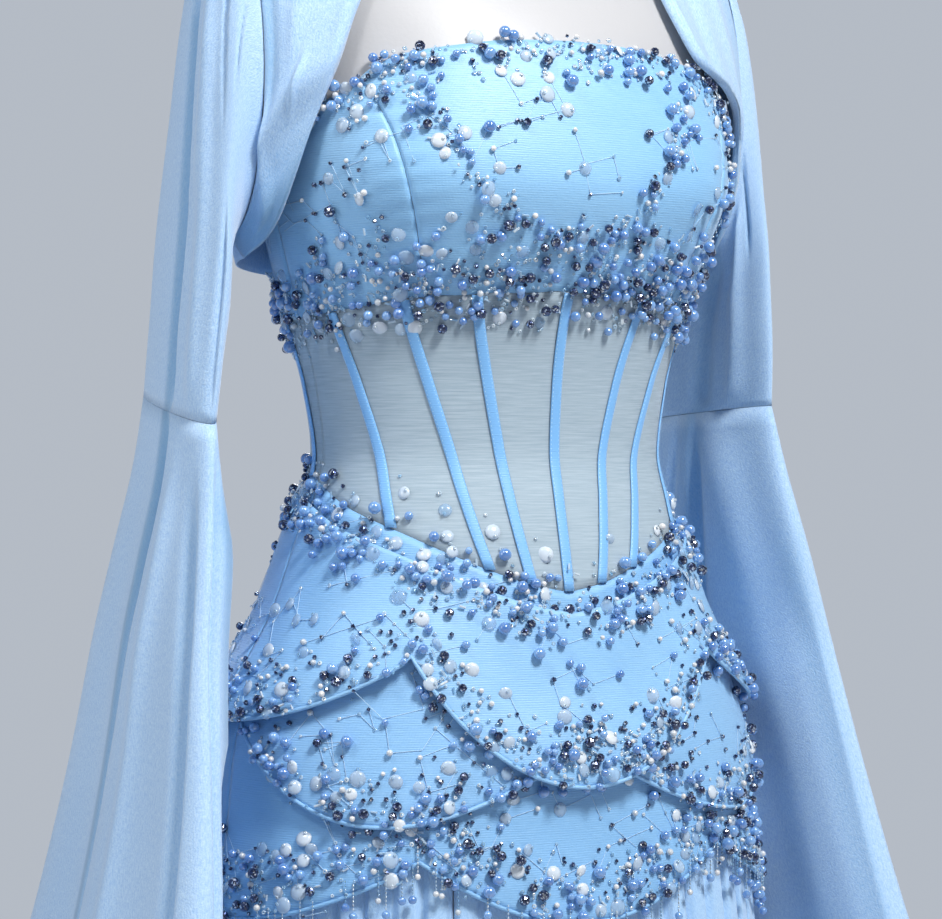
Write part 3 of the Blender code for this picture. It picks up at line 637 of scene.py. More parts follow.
def channel(angles):
    """Points of one boning channel, laid on the net along a line through three angles."""
    climb = np.linspace(0, 1, CHANNEL_ROWS)
    top, middle, bottom = angles
    slope = 4 * middle - top - 3 * bottom
    centre = bottom + slope * climb + 2 * (top + bottom - 2 * middle) * climb ** 2
    low = BASQUE.at("height", off_front(centre)) + SEAM / 2
    high = BAND_EDGE.at("height", off_front(centre)) - SEAM / 2
    height = low + (high - low) * climb
    half = degrees_for(CHANNEL_WIDTH / 2, centre, height)
    across = np.linspace(-1, 1, len(CHANNEL_SECTION))
    angle = centre[:, None] + half[:, None] * across
    lift = SEAM + TAPE * (0.65 + 0.75 * np.array(CHANNEL_SECTION)) + 0 * angle
    return body_surface(angle, height[:, None] + 0 * angle, lift)


for label, angles in CHANNELS.items():
    points = channel(angles)
    sides = (("", points),) if label == "centre" else (("_R", points), ("_L", mirrored(points)))
    for side, shape in sides:
        cloth(f"boning_tape_{label}{side}", shape, TAPE_WALL, tape,
              [f"boning_channel_{label}{side}"])

# SCALLOPED TIERS
# Three rows of petals in the bodice's satin: the yoke with the lowest edge, a second tier
# and a first one under the basque line. Edges are turned over a cord and stand off a little.
PETAL_COLUMNS = ("start", "end", "start_height", "end_height", "drop", "roundness")
PETALS = {
    1: ((-38, 38, 0.898, 0.898, 0.077, 1.0), (38, 138, 0.898, 0.895, 0.040, 0.75),
        (138, 222, 0.895, 0.895, 0.050, 0.9)),
    2: ((0, 90, 0.845, 0.870, 0.056, 0.95), (90, 180, 0.870, 0.850, 0.055, 0.95)),
    3: ((-33, 33, 0.781, 0.781, 0.040, 1.0), (33, 135, 0.781, 0.781, 0.038, 0.8),
        (135, 225, 0.781, 0.781, 0.038, 0.9)),
}
TIER_TOP_BELOW_BASQUE, TIER_2_TOP = 0.013, 0.915
TIER_LIFT = {1: 2.1 * MM, 2: 2.0 * MM}
PETAL_FLARE = {1: 4.0 * MM, 2: 3.0 * MM, 3: 4.0 * MM}
SIDE_FLARE, FLARE_LENGTH = 2.0 * MM, 0.060
WAVE_DEPTH, WAVE_LENGTH = 0.55 * MM, 0.045
EDGE_CORD, CORD_SIDES = 1.25 * MM, 8
FRONT_COLUMNS, BACK_COLUMNS = 121, 61


def petal_edge(tier, angle):
    """Height of a tier's scalloped lower edge."""
    away = off_front(angle)
    height = np.zeros_like(away)
    for row in PETALS[tier]:
        petal = dict(zip(PETAL_COLUMNS, row))
        share = (away - petal["start"]) / (petal["end"] - petal["start"])
        notch = petal["start_height"] + (petal["end_height"] - petal["start_height"]) * share
        edge = notch - petal["drop"] * np.sin(np.pi * np.clip(share, 0, 1)) ** petal["roundness"]
        height = np.where((share >= 0) & (share <= 1), edge, height)
    return height


def flare(tier, angle, height):
    """How far a tier stands off near its free edge, more at the sides."""
    rise = np.clip(1 - (height - petal_edge(tier, angle)) / FLARE_LENGTH, 0, 1)
    size = PETAL_FLARE[tier] + SIDE_FLARE * (tier == 1) * np.sin(np.radians(off_front(angle))) ** 4
    return size * rise * rise * (3 - 2 * rise)


def tier_lift(tier, angle, height):
    """Outer face of a tier above the figure: each tier clears the one under it."""
    lift = flare(3, angle, height)
    if tier <= 2:
        lift = np.maximum(lift, 0) + TIER_LIFT[2] + flare(2, angle, height)
    if tier == 1:
        lift = lift + TIER_LIFT[1] + flare(1, angle, height)
    wave = np.sin(np.radians(angle * 7 + 31 * tier)) + 0.6 * np.sin(np.radians(angle * 13 - 50 * tier))
    rise = np.clip(1 - (height - petal_edge(tier, angle)) / WAVE_LENGTH, 0, 1)
    return lift + np.maximum(wave, 0) * WAVE_DEPTH * rise ** 2


def notches(tier):
    """Angles of a tier's notches between the side seams, and behind them."""
    starts = [row[0] for row in PETALS[tier] if 0 < row[0] < SIDE_SEAM]
    centre = [0] if PETALS[tier][0][0] == 0 else []
    front = [-angle for angle in starts] + centre + starts
    return front, [row[0] for row in PETALS[tier] if SIDE_SEAM < row[0] < CENTRE_BACK]


def edge_of(tier):
    """A tier's lower edge as a function of the angle."""
    return lambda angle: petal_edge(tier, angle)


def lift_of(tier):
    """A tier's lift as a function of the angle and the height."""
    return lambda angle, height: tier_lift(tier, angle, height)


def cord_along(name, path, radius, paint):
    """A thin round roll of cloth along a line of points."""
    ahead = np.gradient(path, axis=0)
    ahead /= np.linalg.norm(ahead, axis=1, keepdims=True)
    outward = path * (1, 1, 0)
    outward /= np.linalg.norm(outward, axis=1, keepdims=True)
    upward = np.cross(outward, ahead)
    upward /= np.linalg.norm(upward, axis=1, keepdims=True)
    outward = np.cross(ahead, upward)
    around = np.arange(CORD_SIDES) * 2 * np.pi / CORD_SIDES
    ring = outward[:, None] * np.cos(around)[:, None] - upward[:, None] * np.sin(around)[:, None]
    piece = turned(name, list(path[:, None] + ring * radius))
    return hand_over(piece, paint)


tops = {
    3: line(BASQUE), 2: lambda angle: TIER_2_TOP + 0 * angle,
    1: lambda angle: BASQUE.at("height", off_front(angle)) - TIER_TOP_BELOW_BASQUE,
}
TIERS = {
    # tier: name, rows of points, deepest and palest blue of its satin
    3: ("hip_yoke", 41, (0.20, 0.46, 0.81), (0.32, 0.59, 0.88)),
    2: ("tier_2", 29, (0.22, 0.48, 0.83), (0.34, 0.61, 0.90)),
    1: ("tier_1", 31, (0.23, 0.50, 0.84), (0.36, 0.63, 0.91)),
}
for tier, (name, rows, deep, pale_blue) in TIERS.items():
    satin = satin_finish(f"{name}_satin", deep, pale_blue)
    bottom, top, lift = edge_of(tier), tops[tier], lift_of(tier)
    front_stops, back_stops = notches(tier)
    points = panel(fixed(-SIDE_SEAM), side_seam, bottom, top, FRONT_COLUMNS, rows, lift,
                   front_stops, SEAM)
    cloth(f"{name}_front_panel", points, SATIN, satin, [f"{name}_front"])
    cord_along(f"{name}_front_edge", points[0], EDGE_CORD, satin)
    back_line = zip_side if tier == 3 else fixed(CENTRE_BACK)
    points = panel(side_seam, back_line, bottom, top, BACK_COLUMNS, rows, lift, back_stops, SEAM)
    for side, shape in (("R", points), ("L", mirrored(points))):
        cloth(f"{name}_back_panel_{side}", shape, SATIN, satin,
              [f"{name}_back_{side}"])
        cord_along(f"{name}_back_edge_{side}", shape[0], EDGE_CORD, satin)

# BACK ZIP
# A closed concealed zip at the centre back: two edges of satin tape that meet over the
# teeth, from the bodice's top to the lowest tier's edge.
ZIP_ROWS = 120
# Across the tape, in half widths, and how far it stands out there, in millimetres.
ZIP_SECTION = ((-1.0, -0.5), (-0.8, 0.0), (-0.35, 0.25), (-0.06, 0.1), (0.0, -0.45),
               (0.06, 0.1), (0.35, 0.25), (0.8, 0.0), (1.0, -0.5))
zip_satin = satin_finish("zip_tape_satin", (0.14, 0.37, 0.72), (0.22, 0.47, 0.82))
low = float(petal_edge(3, CENTRE_BACK)) + SEAM
high = float(BODICE_TOP.at("height", CENTRE_BACK)) - SEAM
heights = np.linspace(low, high, ZIP_ROWS)
across, raised = np.array(ZIP_SECTION).T
half = degrees_for(ZIP_WIDTH / 2 - SEAM / 2, CENTRE_BACK, heights)
angle = CENTRE_BACK + half[:, None] * across
height = heights[:, None] + 0 * angle
points = body_surface(angle, height, flare(3, angle, height) + raised * MM)
cloth("back_zip_tape", points, SATIN, zip_satin, ["back_zip"])

# PLEATED SKIRT
# Seven gores of crepe chiffon, heat-set in pleats that are narrow under the yoke and open
# toward the hem. Seams lie in valleys, and no two pleats hang quite alike.
CHIFFON = 1.0 * MM
SKIRT = Table("height half_width front back pleat", (
    (0.020, 0.345, 0.295, 0.330, 0.026), (0.190, 0.298, 0.248, 0.278, 0.024),
    (0.360, 0.245, 0.195, 0.218, 0.020), (0.520, 0.203, 0.152, 0.172, 0.014),
    (0.620, 0.190, 0.135, 0.152, 0.010), (0.700, 0.1835, 0.126, 0.142, 0.007),
    (0.760, 0.1776, 0.1196, 0.1363, 0.004), (0.818, 0.1718, 0.1157, 0.1325, 0.003),
))
GORES = ("front", "side_front_R", "side_back_R", "back_R", "back_L", "side_back_L", "side_front_L")
PLEATS_PER_GORE, STEPS_PER_PLEAT, SKIRT_ROWS = 8, 16, 25
GORE_ANGLE = 360 / len(GORES)
# Below this height pleats grow uneven, over this length, by up to this share of their depth.
UNEVEN_BELOW, UNEVEN_LENGTH, UNEVEN_SHARE = 0.75, 0.3, 0.14
SWAY = 0.25
# The painted shade colour: deeper blue that the chiffon turns to where its points carry painted shade.
PAINTED_FOLD_SHADE = (0.17, 0.37, 0.60)


def chiffon_finish(name, deep, pale):
    """Matt crepe chiffon: a pebbly grain of twisted threads, a faint cloudiness and painted shade."""
    paint = Paint(name, Sheen_Weight=0.45, Sheen_Roughness=0.5, Specular_IOR_Level=0.3)
    cloth_map = paint.along_cloth()
    pebble = paint.noise(cloth_map, 760.0, 2.0, 0.7)
    threads = paint.noise(paint.stretched(cloth_map, (900.0, 260.0, 1.0)), 1.0, 2.0, 0.6)
    grain = (((pebble + threads) * 0.5 - 0.36) * 3.8).most(0.0).least(1.0)
    slow = paint.noise(paint.here(), 7.0, 3.0)
    tone = paint.mix(slow * 0.25 + grain * 0.75, deep, pale)
    # Painted shade: deeper blue wherever the piece's points carry it.
    paint.feed("Base Color", paint.mix(paint.of_point("painted_shade"), tone, PAINTED_FOLD_SHADE))
    paint.feed("Roughness", 0.58 + pebble * 0.22)
    paint.bump(pebble + threads * 0.6, 0.45, 0.9 * MM)
    return paint


def pleat_profile(step):
    """1 along a pleat's crest and 0 in the valley between two pleats, with soft corners."""
    within = step % 1.0
    rise = np.clip(np.minimum(within, 1 - within) / 0.25, 0, 1)
    return rise * (1.0 - 0.10 * np.cos(np.pi * rise) * (rise < 1))


def skirt_point(angle, height, fold):
    """The skirt at an angle and a height; fold is 1 on a crest and 0 in a valley."""
    around = np.radians(angle)
    depth = np.where(np.cos(around) > 0, SKIRT.at("front", height), SKIRT.at("back", height))
    sink = SKIRT.at("pleat", height) * (1 - fold)
    x = (SKIRT.at("half_width", height) - sink) * np.sin(around) * (1 + FULLNESS * np.cos(around) ** 2)
    y = -(depth - sink) * np.cos(around) * (1 + FULLNESS * np.sin(around) ** 2)
    return np.stack([x, y, height + 0 * x], axis=-1)


def gore(number):
    """Points of one gore: rows from the hem up, columns round from seam to seam."""
    steps = np.linspace(0, PLEATS_PER_GORE, PLEATS_PER_GORE * STEPS_PER_PLEAT + 1)
    heights = np.linspace(SKIRT.rows[0, 0], SKIRT.rows[-1, 0], SKIRT_ROWS)[:, None]
    which = number * PLEATS_PER_GORE + np.clip(np.floor(steps), 0, PLEATS_PER_GORE - 1)
    uneven = 1 - UNEVEN_SHARE + UNEVEN_SHARE * np.sin(which * 2.4 + np.sin(which * 5.1))
    fold = pleat_profile(steps)
    crest = 1 - (1 - uneven) * fold * np.clip((UNEVEN_BELOW - heights) / UNEVEN_LENGTH, 0, 1)
    angle = (number - 0.5 + steps / PLEATS_PER_GORE) * GORE_ANGLE + 0 * heights
    sway = np.sin(which * 1.7 + heights * 5) * SWAY * np.sin(np.pi * (steps % 1.0))
    reach = np.linalg.norm(skirt_point(angle, heights, 0.5)[..., :2], axis=-1)
    trim = np.degrees(SEAM / 2 / reach)
    angle = angle + sway
    angle[:, 0] += trim[:, 0]
    angle[:, -1] -= trim[:, -1]
    return skirt_point(angle, heights + 0 * angle, fold * crest)


skirt_chiffon = chiffon_finish("pleated_skirt_chiffon", (0.32, 0.56, 0.88), (0.52, 0.74, 0.98))
for number, name in enumerate(GORES):
    cloth(f"skirt_gore_{name}", gore(number), CHIFFON, skirt_chiffon,
          [f"skirt_{name}"])

# SHRUG
# An open shrug of the same chiffon: a back and two fronts that meet on the shoulders and
# end in the armholes. Its free front edges fall in soft folds and hang differently.
SLEEVE = Table("place inner_x inner_z outer_x outer_z mid_y half_y swing", (
    (0.0, 0.168, 1.150, 0.169, 1.345, 0.015, 0.0500, 0.0),
    (1.0, 0.171, 1.140, 0.179, 1.337, 0.018, 0.0510, 2.0),
    (2.0, 0.173, 1.128, 0.186, 1.300, 0.021, 0.0530, 4.0),
    (3.0, 0.175, 1.112, 0.191, 1.240, 0.025, 0.0570, 5.0),
    (4.0, 0.176, 1.090, 0.196, 1.170, 0.029, 0.0630, 5.0),
    (5.0, 0.178, 1.068, 0.200, 1.100, 0.033, 0.0640, 6.0),
    (6.0, 0.180, 1.046, 0.203, 1.046, 0.036, 0.0625, 6.0),
))
SHRUG_EDGE = {
    -1: Table("place x y z", (
        (0.00, 0.068, 0.012, 1.401), (0.05, 0.071, -0.006, 1.399), (0.15, 0.092, -0.050, 1.352),
        (0.32, 0.110, -0.068, 1.300), (0.46, 0.126, -0.068, 1.258), (0.62, 0.139, -0.055, 1.210),
        (0.78, 0.148, -0.036, 1.168), (0.90, 0.156, -0.016, 1.146), (1.00, 0.163, 0.004, 1.136),
    )),
    1: Table("place x y z", (
        (0.00, 0.068, 0.012, 1.401), (0.05, 0.068, -0.006, 1.399), (0.15, 0.068, -0.052, 1.352),
        (0.32, 0.072, -0.080, 1.300), (0.46, 0.089, -0.093, 1.258), (0.54, 0.120, -0.071, 1.243),
        (0.62, 0.152, -0.042, 1.222), (0.78, 0.159, -0.030, 1.180), (0.90, 0.161, -0.012, 1.150),
        (1.00, 0.163, 0.004, 1.136),
    )),
}
REST_POWER, LEAST_REACH = 24, 0.05
SHRUG_LIFT, SHOULDER_LIFT, SHOULDER_START, SHOULDER_FULL = 1.2 * MM, 6.0 * MM, 1.320, 1.350
SHRUG_NECK, SHRUG_BACK_NECK, SHRUG_BACK_HEM = (0.068, 0.012, 1.401), 1.384, 1.128
ARMHOLE_GAP, ARMHOLE_SHARE = 0.6 * MM, 0.9
TILT_FADE, RIM_STEP = 3, 3.0
# How sharply a panel turns to its armhole, a front to its shoulder seam, and the back to its top.
HOLE_POWER, FRONT_TOP_POWER, BACK_TOP_POWER = 4, 8, 10
FADE_ACROSS, FADE_UP = 0.05, 0.06
SEAM_SHARE = 5 / 9


def swing_out(points, middle_x, middle_y, degrees):
    """Turn points about an upright line so that their front swings away from the body."""
    spin = np.radians(degrees)
    x, y = points[..., 0] - middle_x, points[..., 1] - middle_y
    turned_x = middle_x + x * np.cos(spin) - y * np.sin(spin)
    turned_y = middle_y + x * np.sin(spin) + y * np.cos(spin)
    return np.stack([turned_x, turned_y, points[..., 2]], axis=-1)


def sleeve_ring(place, around, tilt=0.0):
    """A ring of the upper sleeve; around is 0 at the back, 90 at the top or outside."""
    read = {name: SLEEVE.at(name, place) for name in SLEEVE.columns[1:]}
    sine, cosine = np.sin(np.radians(around)), np.cos(np.radians(around))
    x = (read["outer_x"] + read["inner_x"]) / 2 + (read["outer_x"] - read["inner_x"]) / 2 * sine
    z = (read["outer_z"] + read["inner_z"]) / 2 + (read["outer_z"] - read["inner_z"]) / 2 * sine
    z = z + tilt * (place / SLEEVE.rows[-1, 0]) ** TILT_FADE * cosine
    y = read["mid_y"] + read["half_y"] * cosine
    ring = np.stack([x + 0 * y, y, z + 0 * y], axis=-1)
    return swing_out(ring, (read["outer_x"] + read["inner_x"]) / 2, read["mid_y"], read["swing"])


def clear_of_body(points):
    """Push points out, level, until they clear the figure; more on the shoulders."""
    x, y, z = points[..., 0], points[..., 1], points[..., 2]
    on_shoulder = np.clip((z - SHOULDER_START) / (SHOULDER_FULL - SHOULDER_START), 0, 1)
    lift = SHRUG_LIFT + SHOULDER_LIFT * on_shoulder
    half_width = BODY.at("half_width", z) + lift
    depth = np.where(y < 0, BODY.at("front", z), BODY.at("back", z)) + lift
    reach = np.sqrt((x / half_width) ** 2 + (y / depth) ** 2) / (1 + FULLNESS / 2)
    scale = (reach ** REST_POWER + 1) ** (1 / REST_POWER) / np.maximum(reach, LEAST_REACH)
    return np.stack([x * scale, y * scale, z], axis=-1)


def off_the_form(points):
    """Push points out, level, wherever they would sink into the form."""
    flat = points.reshape(-1, 3)
    rims = body_point(np.arange(0, 181, RIM_STEP), flat[:, 2:])
    turns = np.arctan2(np.abs(rims[..., 0]), -rims[..., 1])
    reaches = np.hypot(rims[..., 0], rims[..., 1])
    own_turn = np.arctan2(np.abs(flat[:, 0]), -flat[:, 1])
    needed = [np.interp(*looked_up) for looked_up in zip(own_turn, turns, reaches)]
    grow = np.maximum(np.array(needed) / np.hypot(flat[:, 0], flat[:, 1]), 1)
    return np.stack([flat[:, 0] * grow, flat[:, 1] * grow, flat[:, 2]], axis=-1).reshape(points.shape)


def armhole(around):
    """The shrug's armhole edge, just inside the sleeve's first ring."""
    return sleeve_ring(0, around) - (ARMHOLE_GAP, 0, 0)


def shoulder_seam(share):
    """Points of the shoulder seam from the neck out to the armhole."""
    return SHRUG_NECK + (armhole(90) - SHRUG_NECK) * share[:, None]


def normals_of(points):
    """Outward normals of a sheet of points."""
    normal = np.cross(np.gradient(points, axis=1), np.gradient(points, axis=0))
    return normal / np.maximum(np.linalg.norm(normal, axis=-1, keepdims=True), 1e-9)


# Soft folds of each front: where they start and end, across from the free edge (0) to the
# armhole (1) and up from the underarm (0) to the shoulder (1), their depth in millimetres
# and their width as a share of the panel.
FRONT_EASE = 2.4 * MM
FRONT_FOLDS = {
    -1: ((-0.05, 0.50, 0.45, 0.46, 4.2, 0.050), (0.45, 0.46, 1.00, 0.34, 4.4, 0.045),
         (0.10, 0.40, 0.90, 0.24, -3.0, 0.080), (0.92, 0.66, 0.86, 0.46, -2.6, 0.070),
         (0.35, 0.98, 0.62, 0.60, 2.6, 0.090), (0.88, 0.27, 0.35, 0.17, 3.2, 0.050),
         (0.10, 0.95, 0.10, 0.60, 2.0, 0.080)),
    1: ((0.04, 0.98, 0.02, 0.30, 3.4, 0.075), (0.32, 0.95, 0.28, 0.35, -2.2, 0.090),
        (0.60, 0.92, 0.75, 0.40, 2.4, 0.090), (0.20, 0.20, 0.80, 0.10, 1.6, 0.060)),
}


def folded(points, folds, ease):
    """Raise and sink soft folds on a sheet, faded out at all its edges."""
    rows, columns = points.shape[:2]
    up, across = np.meshgrid(np.linspace(0, 1, rows), np.linspace(0, 1, columns), indexing="ij")
    depth = np.zeros((rows, columns))
    for a0, u0, a1, u1, size, width in folds:
        along = np.array((a1 - a0, u1 - u0))
        length = np.linalg.norm(along)
        t = np.clip(((across - a0) * along[0] + (up - u0) * along[1]) / length ** 2, 0, 1)
        gap = np.hypot(across - a0 - along[0] * t, up - u0 - along[1] * t)
        depth += size * MM * np.exp(-(gap / width) ** 2)
    fade = np.clip(np.minimum(across, 1 - across) / FADE_ACROSS, 0, 1)
    fade = fade * np.clip(np.minimum(up, 1 - up) / FADE_UP, 0, 1)
    depth = np.maximum((depth + ease) * fade, -0.2 * MM)
    return points + normals_of(points) * depth[..., None]


def shrug_front(side, rows=73, columns=41):
    """Rows from the underarm up to the shoulder seam, columns from free edge to armhole."""
    climb = np.linspace(1, 0, rows)
    edge = np.stack([SHRUG_EDGE[side].at(name, climb) for name in ("x", "y", "z")], axis=-1)
    edge = clear_of_body(edge)
    hole = armhole(90 + 180 * climb)
    share = np.linspace(0, 1, columns)
    points = edge[:, None] * (1 - share[None, :, None]) + hole[:, None] * share[None, :, None]
    keep = share[None, :, None] ** HOLE_POWER
    points = clear_of_body(points) * (1 - keep) + points * keep
    settle = (1 - climb)[:, None, None] ** FRONT_TOP_POWER
    points = points * (1 - settle) + shoulder_seam(share)[None] * settle
    return off_the_form(folded(points, FRONT_FOLDS[side], FRONT_EASE))


def quarter_round(corner, back, height, share):
    """A level-ended curve from a corner at the side round to the centre back."""
    around = share * np.pi / 2
    x = corner[0] * np.cos(around)
    y = corner[1] + (back - corner[1]) * np.sin(around)
    z = corner[2] + (height - corner[2]) * np.sin(around)
    return np.stack([x, y, z], axis=-1)


def shrug_back(rows=49, shoulder_steps=40, neck_steps=32):
    """Rows from the hem up to shoulder seams and back neck, columns from +X round to -X."""
    climb = np.linspace(1, 0, rows)
    hem_corner = SHRUG_EDGE[1].rows[-1, 1:]
    side = armhole(90 - 180 * np.clip(climb / ARMHOLE_SHARE, 0, 1))
    closing = np.clip((climb - ARMHOLE_SHARE) / (1 - ARMHOLE_SHARE), 0, 1)[:, None]
    side = side * (1 - closing) + hem_corner * closing
    centre_height = SHRUG_BACK_NECK + (SHRUG_BACK_HEM - SHRUG_BACK_NECK) * climb
    centre_y = BODY.at("back", centre_height) + SHRUG_LIFT * (1 + climb)
    centre = np.stack([0 * climb, centre_y, centre_height], axis=-1)
    neck = quarter_round(SHRUG_NECK, centre[-1, 1], SHRUG_BACK_NECK, np.linspace(0, 1, neck_steps + 1))
    seam_points = shoulder_seam(np.linspace(0, 1, shoulder_steps + 1))
    top = np.concatenate([seam_points[::-1], neck[1:]])
    across = np.concatenate([np.linspace(0, SEAM_SHARE, shoulder_steps + 1),
                             np.linspace(SEAM_SHARE, 1, neck_steps + 1)[1:]])
    hem = quarter_round(hem_corner, centre[0, 1], SHRUG_BACK_HEM, across)
    across = across[None, :, None]
    drop = climb[:, None, None]
    ruled = top * (1 - drop) + hem * drop
    points = ruled + (side[:, None] - ruled[:, :1]) * (1 - across)
    points = points + (centre[:, None] - ruled[:, -1:]) * across
    keep = (1 - across) ** HOLE_POWER
    points = clear_of_body(points) * (1 - keep) + points * keep
    settle = (1 - climb)[:, None, None] ** BACK_TOP_POWER
    points = points * (1 - settle) + top[None] * settle
    return np.concatenate([points, points[:, -2::-1] * (-1, 1, 1)], axis=1)


BACK_FOLDS = ((0.12, 0.20, 0.30, 0.80, 2.2, 0.035), (0.88, 0.24, 0.72, 0.74, 2.0, 0.035),
              (0.42, 0.05, 0.46, 0.60, 1.6, 0.030), (0.60, 0.05, 0.55, 0.45, 1.4, 0.030))


def front_shade(rows, columns):
    """How much painted shade a front gets: on its lower lobe, and in a strip by the armhole."""
    up, across = np.meshgrid(np.linspace(0, 1, rows), np.linspace(0, 1, columns), indexing="ij")
    lobe = 0.75 * np.clip((0.46 - up - 0.14 * across) / 0.22, 0, 1)
    by_armhole = 0.55 * np.exp(-((across - 0.93) / 0.10) ** 2) * np.clip((up - 0.38) / 0.1, 0, 1)
    return np.maximum(lobe, by_armhole)


sleeve_chiffon = chiffon_finish("crepe_sleeve_chiffon", (0.31, 0.54, 0.86), (0.60, 0.79, 1.00))
points = off_the_form(folded(shrug_back(), BACK_FOLDS, 0.0))
cloth("shrug_back_panel", points, CHIFFON, sleeve_chiffon, ["shrug_back"])
# The fronts carry painted shade, stronger on the left one.
for side, label, strength in ((1, "R", 0.7), (-1, "L", 1.0)):
    points = shrug_front(side)
    shade = front_shade(*points.shape[:2]) * strength
    if side == -1:
        points, shade = mirrored(points), shade[:, ::-1]
    cloth(f"shrug_front_panel_{label}", points, CHIFFON, sleeve_chiffon,
          [f"shrug_front_{label}"], painted_shade=shade)

# SLEEVES
# Empty chiffon sleeves that hang flat: an upper sleeve, eased into the armhole, and a
# wide bell from the elbow seam down. Their long folds are laid in side by side.
BELL = Table("height mid_x mid_y half_long half_thin fold", (
    (0.560, 0.256, 0.058, 0.216, 0.036, 0.010), (0.650, 0.237, 0.055, 0.188, 0.033, 0.008),
    (0.742, 0.221, 0.051, 0.159, 0.028, 0.006), (0.837, 0.211, 0.047, 0.129, 0.022, 0.004),
    (0.908, 0.205, 0.043, 0.105, 0.020, 0.003), (0.955, 0.199, 0.040, 0.092, 0.018, 0.002),
    (1.010, 0.193, 0.037, 0.074, 0.014, 0.001), (1.0457, 0.1915, 0.036, 0.0625, 0.0115, 0.0),
))
BELL_SWING, BELL_FOLDS, BELL_EASE, BELL_UNEVEN = 6.0, 7, 0.55, 0.5
# How far from the elbow the laid folds reach full depth: in places, and in metres.
UPPER_FADE, BELL_FADE = 0.12, 0.012
LINE_FADE = 0.10
ELBOW_TILT = {-1: 0.010, 1: -0.004}
# Long folds laid in one by one: depth and width in millimetres, how crisp one side is, and the
# fold's line, as its share of the way down and its turn round the sleeve in degrees.
UPPER_FOLDS = {
    -1: ((-6.5, 6.0, 2.8, ((0.16, 90), (0.50, 99), (0.70, 106), (0.85, 104), (1.02, 107))),
         (3.0, 8.0, 1.0, ((0.30, 120), (0.60, 130), (1.02, 136))),
         (-4.6, 3.6, 2.2, ((0.06, 128), (0.30, 138), (0.48, 156))),
         (-3.0, 3.2, 1.6, ((0.06, 150), (0.20, 158), (0.36, 170))),
         (2.4, 7.0, 1.0, ((0.15, 108), (0.45, 118), (0.70, 122))),
         (-3.0, 5.0, 1.6, ((0.55, 168), (0.80, 172), (1.02, 170))),
         (-3.4, 8.0, 1.4, ((0.35, 262), (0.70, 256), (1.02, 252))),
         (-3.0, 6.0, 1.0, ((0.20, 300), (0.60, 296), (0.90, 292)))),
    1: ((3.4, 9.0, 1.6, ((0.15, 216), (0.54, 232), (1.02, 238))),
        (-4.6, 9.0, 1.0, ((0.25, 250), (0.60, 262), (1.02, 266))),
        (-3.4, 4.0, 1.6, ((0.06, 196), (0.26, 206), (0.50, 212))),
        (-4.6, 6.0, 2.2, ((0.20, 96), (0.55, 88), (1.02, 84))),
        (2.4, 8.0, 1.0, ((0.30, 118), (0.60, 124), (1.02, 126))),
        (-3.2, 4.0, 1.6, ((0.08, 132), (0.26, 140), (0.42, 150)))),
}
BELL_LAID = {
    -1: ((-11.0, 6.5, 3.4, ((-0.02, 104), (0.13, 102), (0.28, 98), (0.43, 92), (0.63, 89), (1.1, 86))),
         (3.4, 9.0, 1.0, ((0.02, 118), (0.28, 112), (0.63, 108), (1.1, 106))),
         (-6.0, 8.0, 2.0, ((0.06, 142), (0.27, 151), (0.42, 148), (0.60, 146), (1.1, 144))),
         (-6.0, 4.5, 1.6, ((0.02, 192), (0.25, 196), (0.50, 200), (1.1, 202))),
         (7.0, 11.0, 1.6, ((0.06, 216), (0.25, 218), (0.50, 220))),
         (-5.0, 12.0, 1.2, ((0.05, 262), (0.45, 256), (1.1, 250))),
         (-6.0, 10.0, 2.0, ((0.10, 306), (0.50, 312), (1.1, 316)))),
    1: ((5.0, 20.0, 1.0, ((-0.02, 256), (0.22, 237), (0.45, 229), (0.68, 226), (1.1, 224))),
        (-7.0, 9.0, 2.0, ((-0.02, 272), (0.20, 270), (0.40, 268), (0.70, 262), (1.1, 258))),
        (-3.6, 6.0, 1.4, ((-0.02, 288), (0.25, 292), (0.60, 296), (1.1, 298))),
        (-4.0, 12.0, 1.0, ((0.20, 205), (0.60, 204), (1.1, 203))),
        (-7.0, 8.0, 2.6, ((-0.02, 82), (0.30, 86), (0.65, 92), (1.1, 95))),
        (-4.4, 10.0, 1.6, ((0.10, 128), (0.50, 134), (1.1, 138)))),
}
# Painted shade between the folds and on the sleeves' shaded sides, as strips of deeper blue: how
# strong and how wide in millimetres, and their line, read as the folds' lines are.
UPPER_PAINTED_SHADE = {
    -1: ((0.62, 5.5, ((0.30, 88), (0.50, 94), (0.70, 100), (0.85, 99), (1.1, 101))),
         (0.45, 12.0, ((-0.1, 68), (0.20, 72), (0.34, 78))),
         (0.60, 2.6, ((-0.1, 128), (0.14, 132), (0.32, 138))),
         (0.40, 7.0, ((0.30, 262), (0.70, 256), (1.1, 252)))),
    1: ((0.40, 12.0, ((-0.1, 246), (0.30, 252), (0.60, 262), (1.1, 266))),
        (0.45, 4.0, ((-0.1, 196), (0.26, 206), (0.50, 212))),
        (0.55, 5.5, ((0.20, 92), (0.55, 84), (1.1, 80)))),
}
BELL_PAINTED_SHADE = {
    -1: ((0.72, 6.5, ((-0.1, 100), (0.13, 96), (0.28, 91), (0.43, 86), (0.63, 83), (1.1, 80))),
         (0.30, 9.0, ((0.04, 142), (0.27, 148), (0.60, 144), (1.1, 142))),
         (0.85, 17.0, ((0.02, 216), (0.25, 220), (0.50, 222), (0.80, 224))),
         (0.50, 9.0, ((0.10, 306), (0.50, 312), (1.1, 316)))),
    1: ((0.42, 14.0, ((-0.1, 274), (0.20, 272), (0.40, 270), (0.70, 264), (1.1, 260))),
        (0.26, 10.0, ((0.10, 205), (0.60, 204), (1.1, 203))),
        (0.65, 7.0, ((-0.1, 78), (0.30, 82), (0.65, 88), (1.1, 91)))),
}


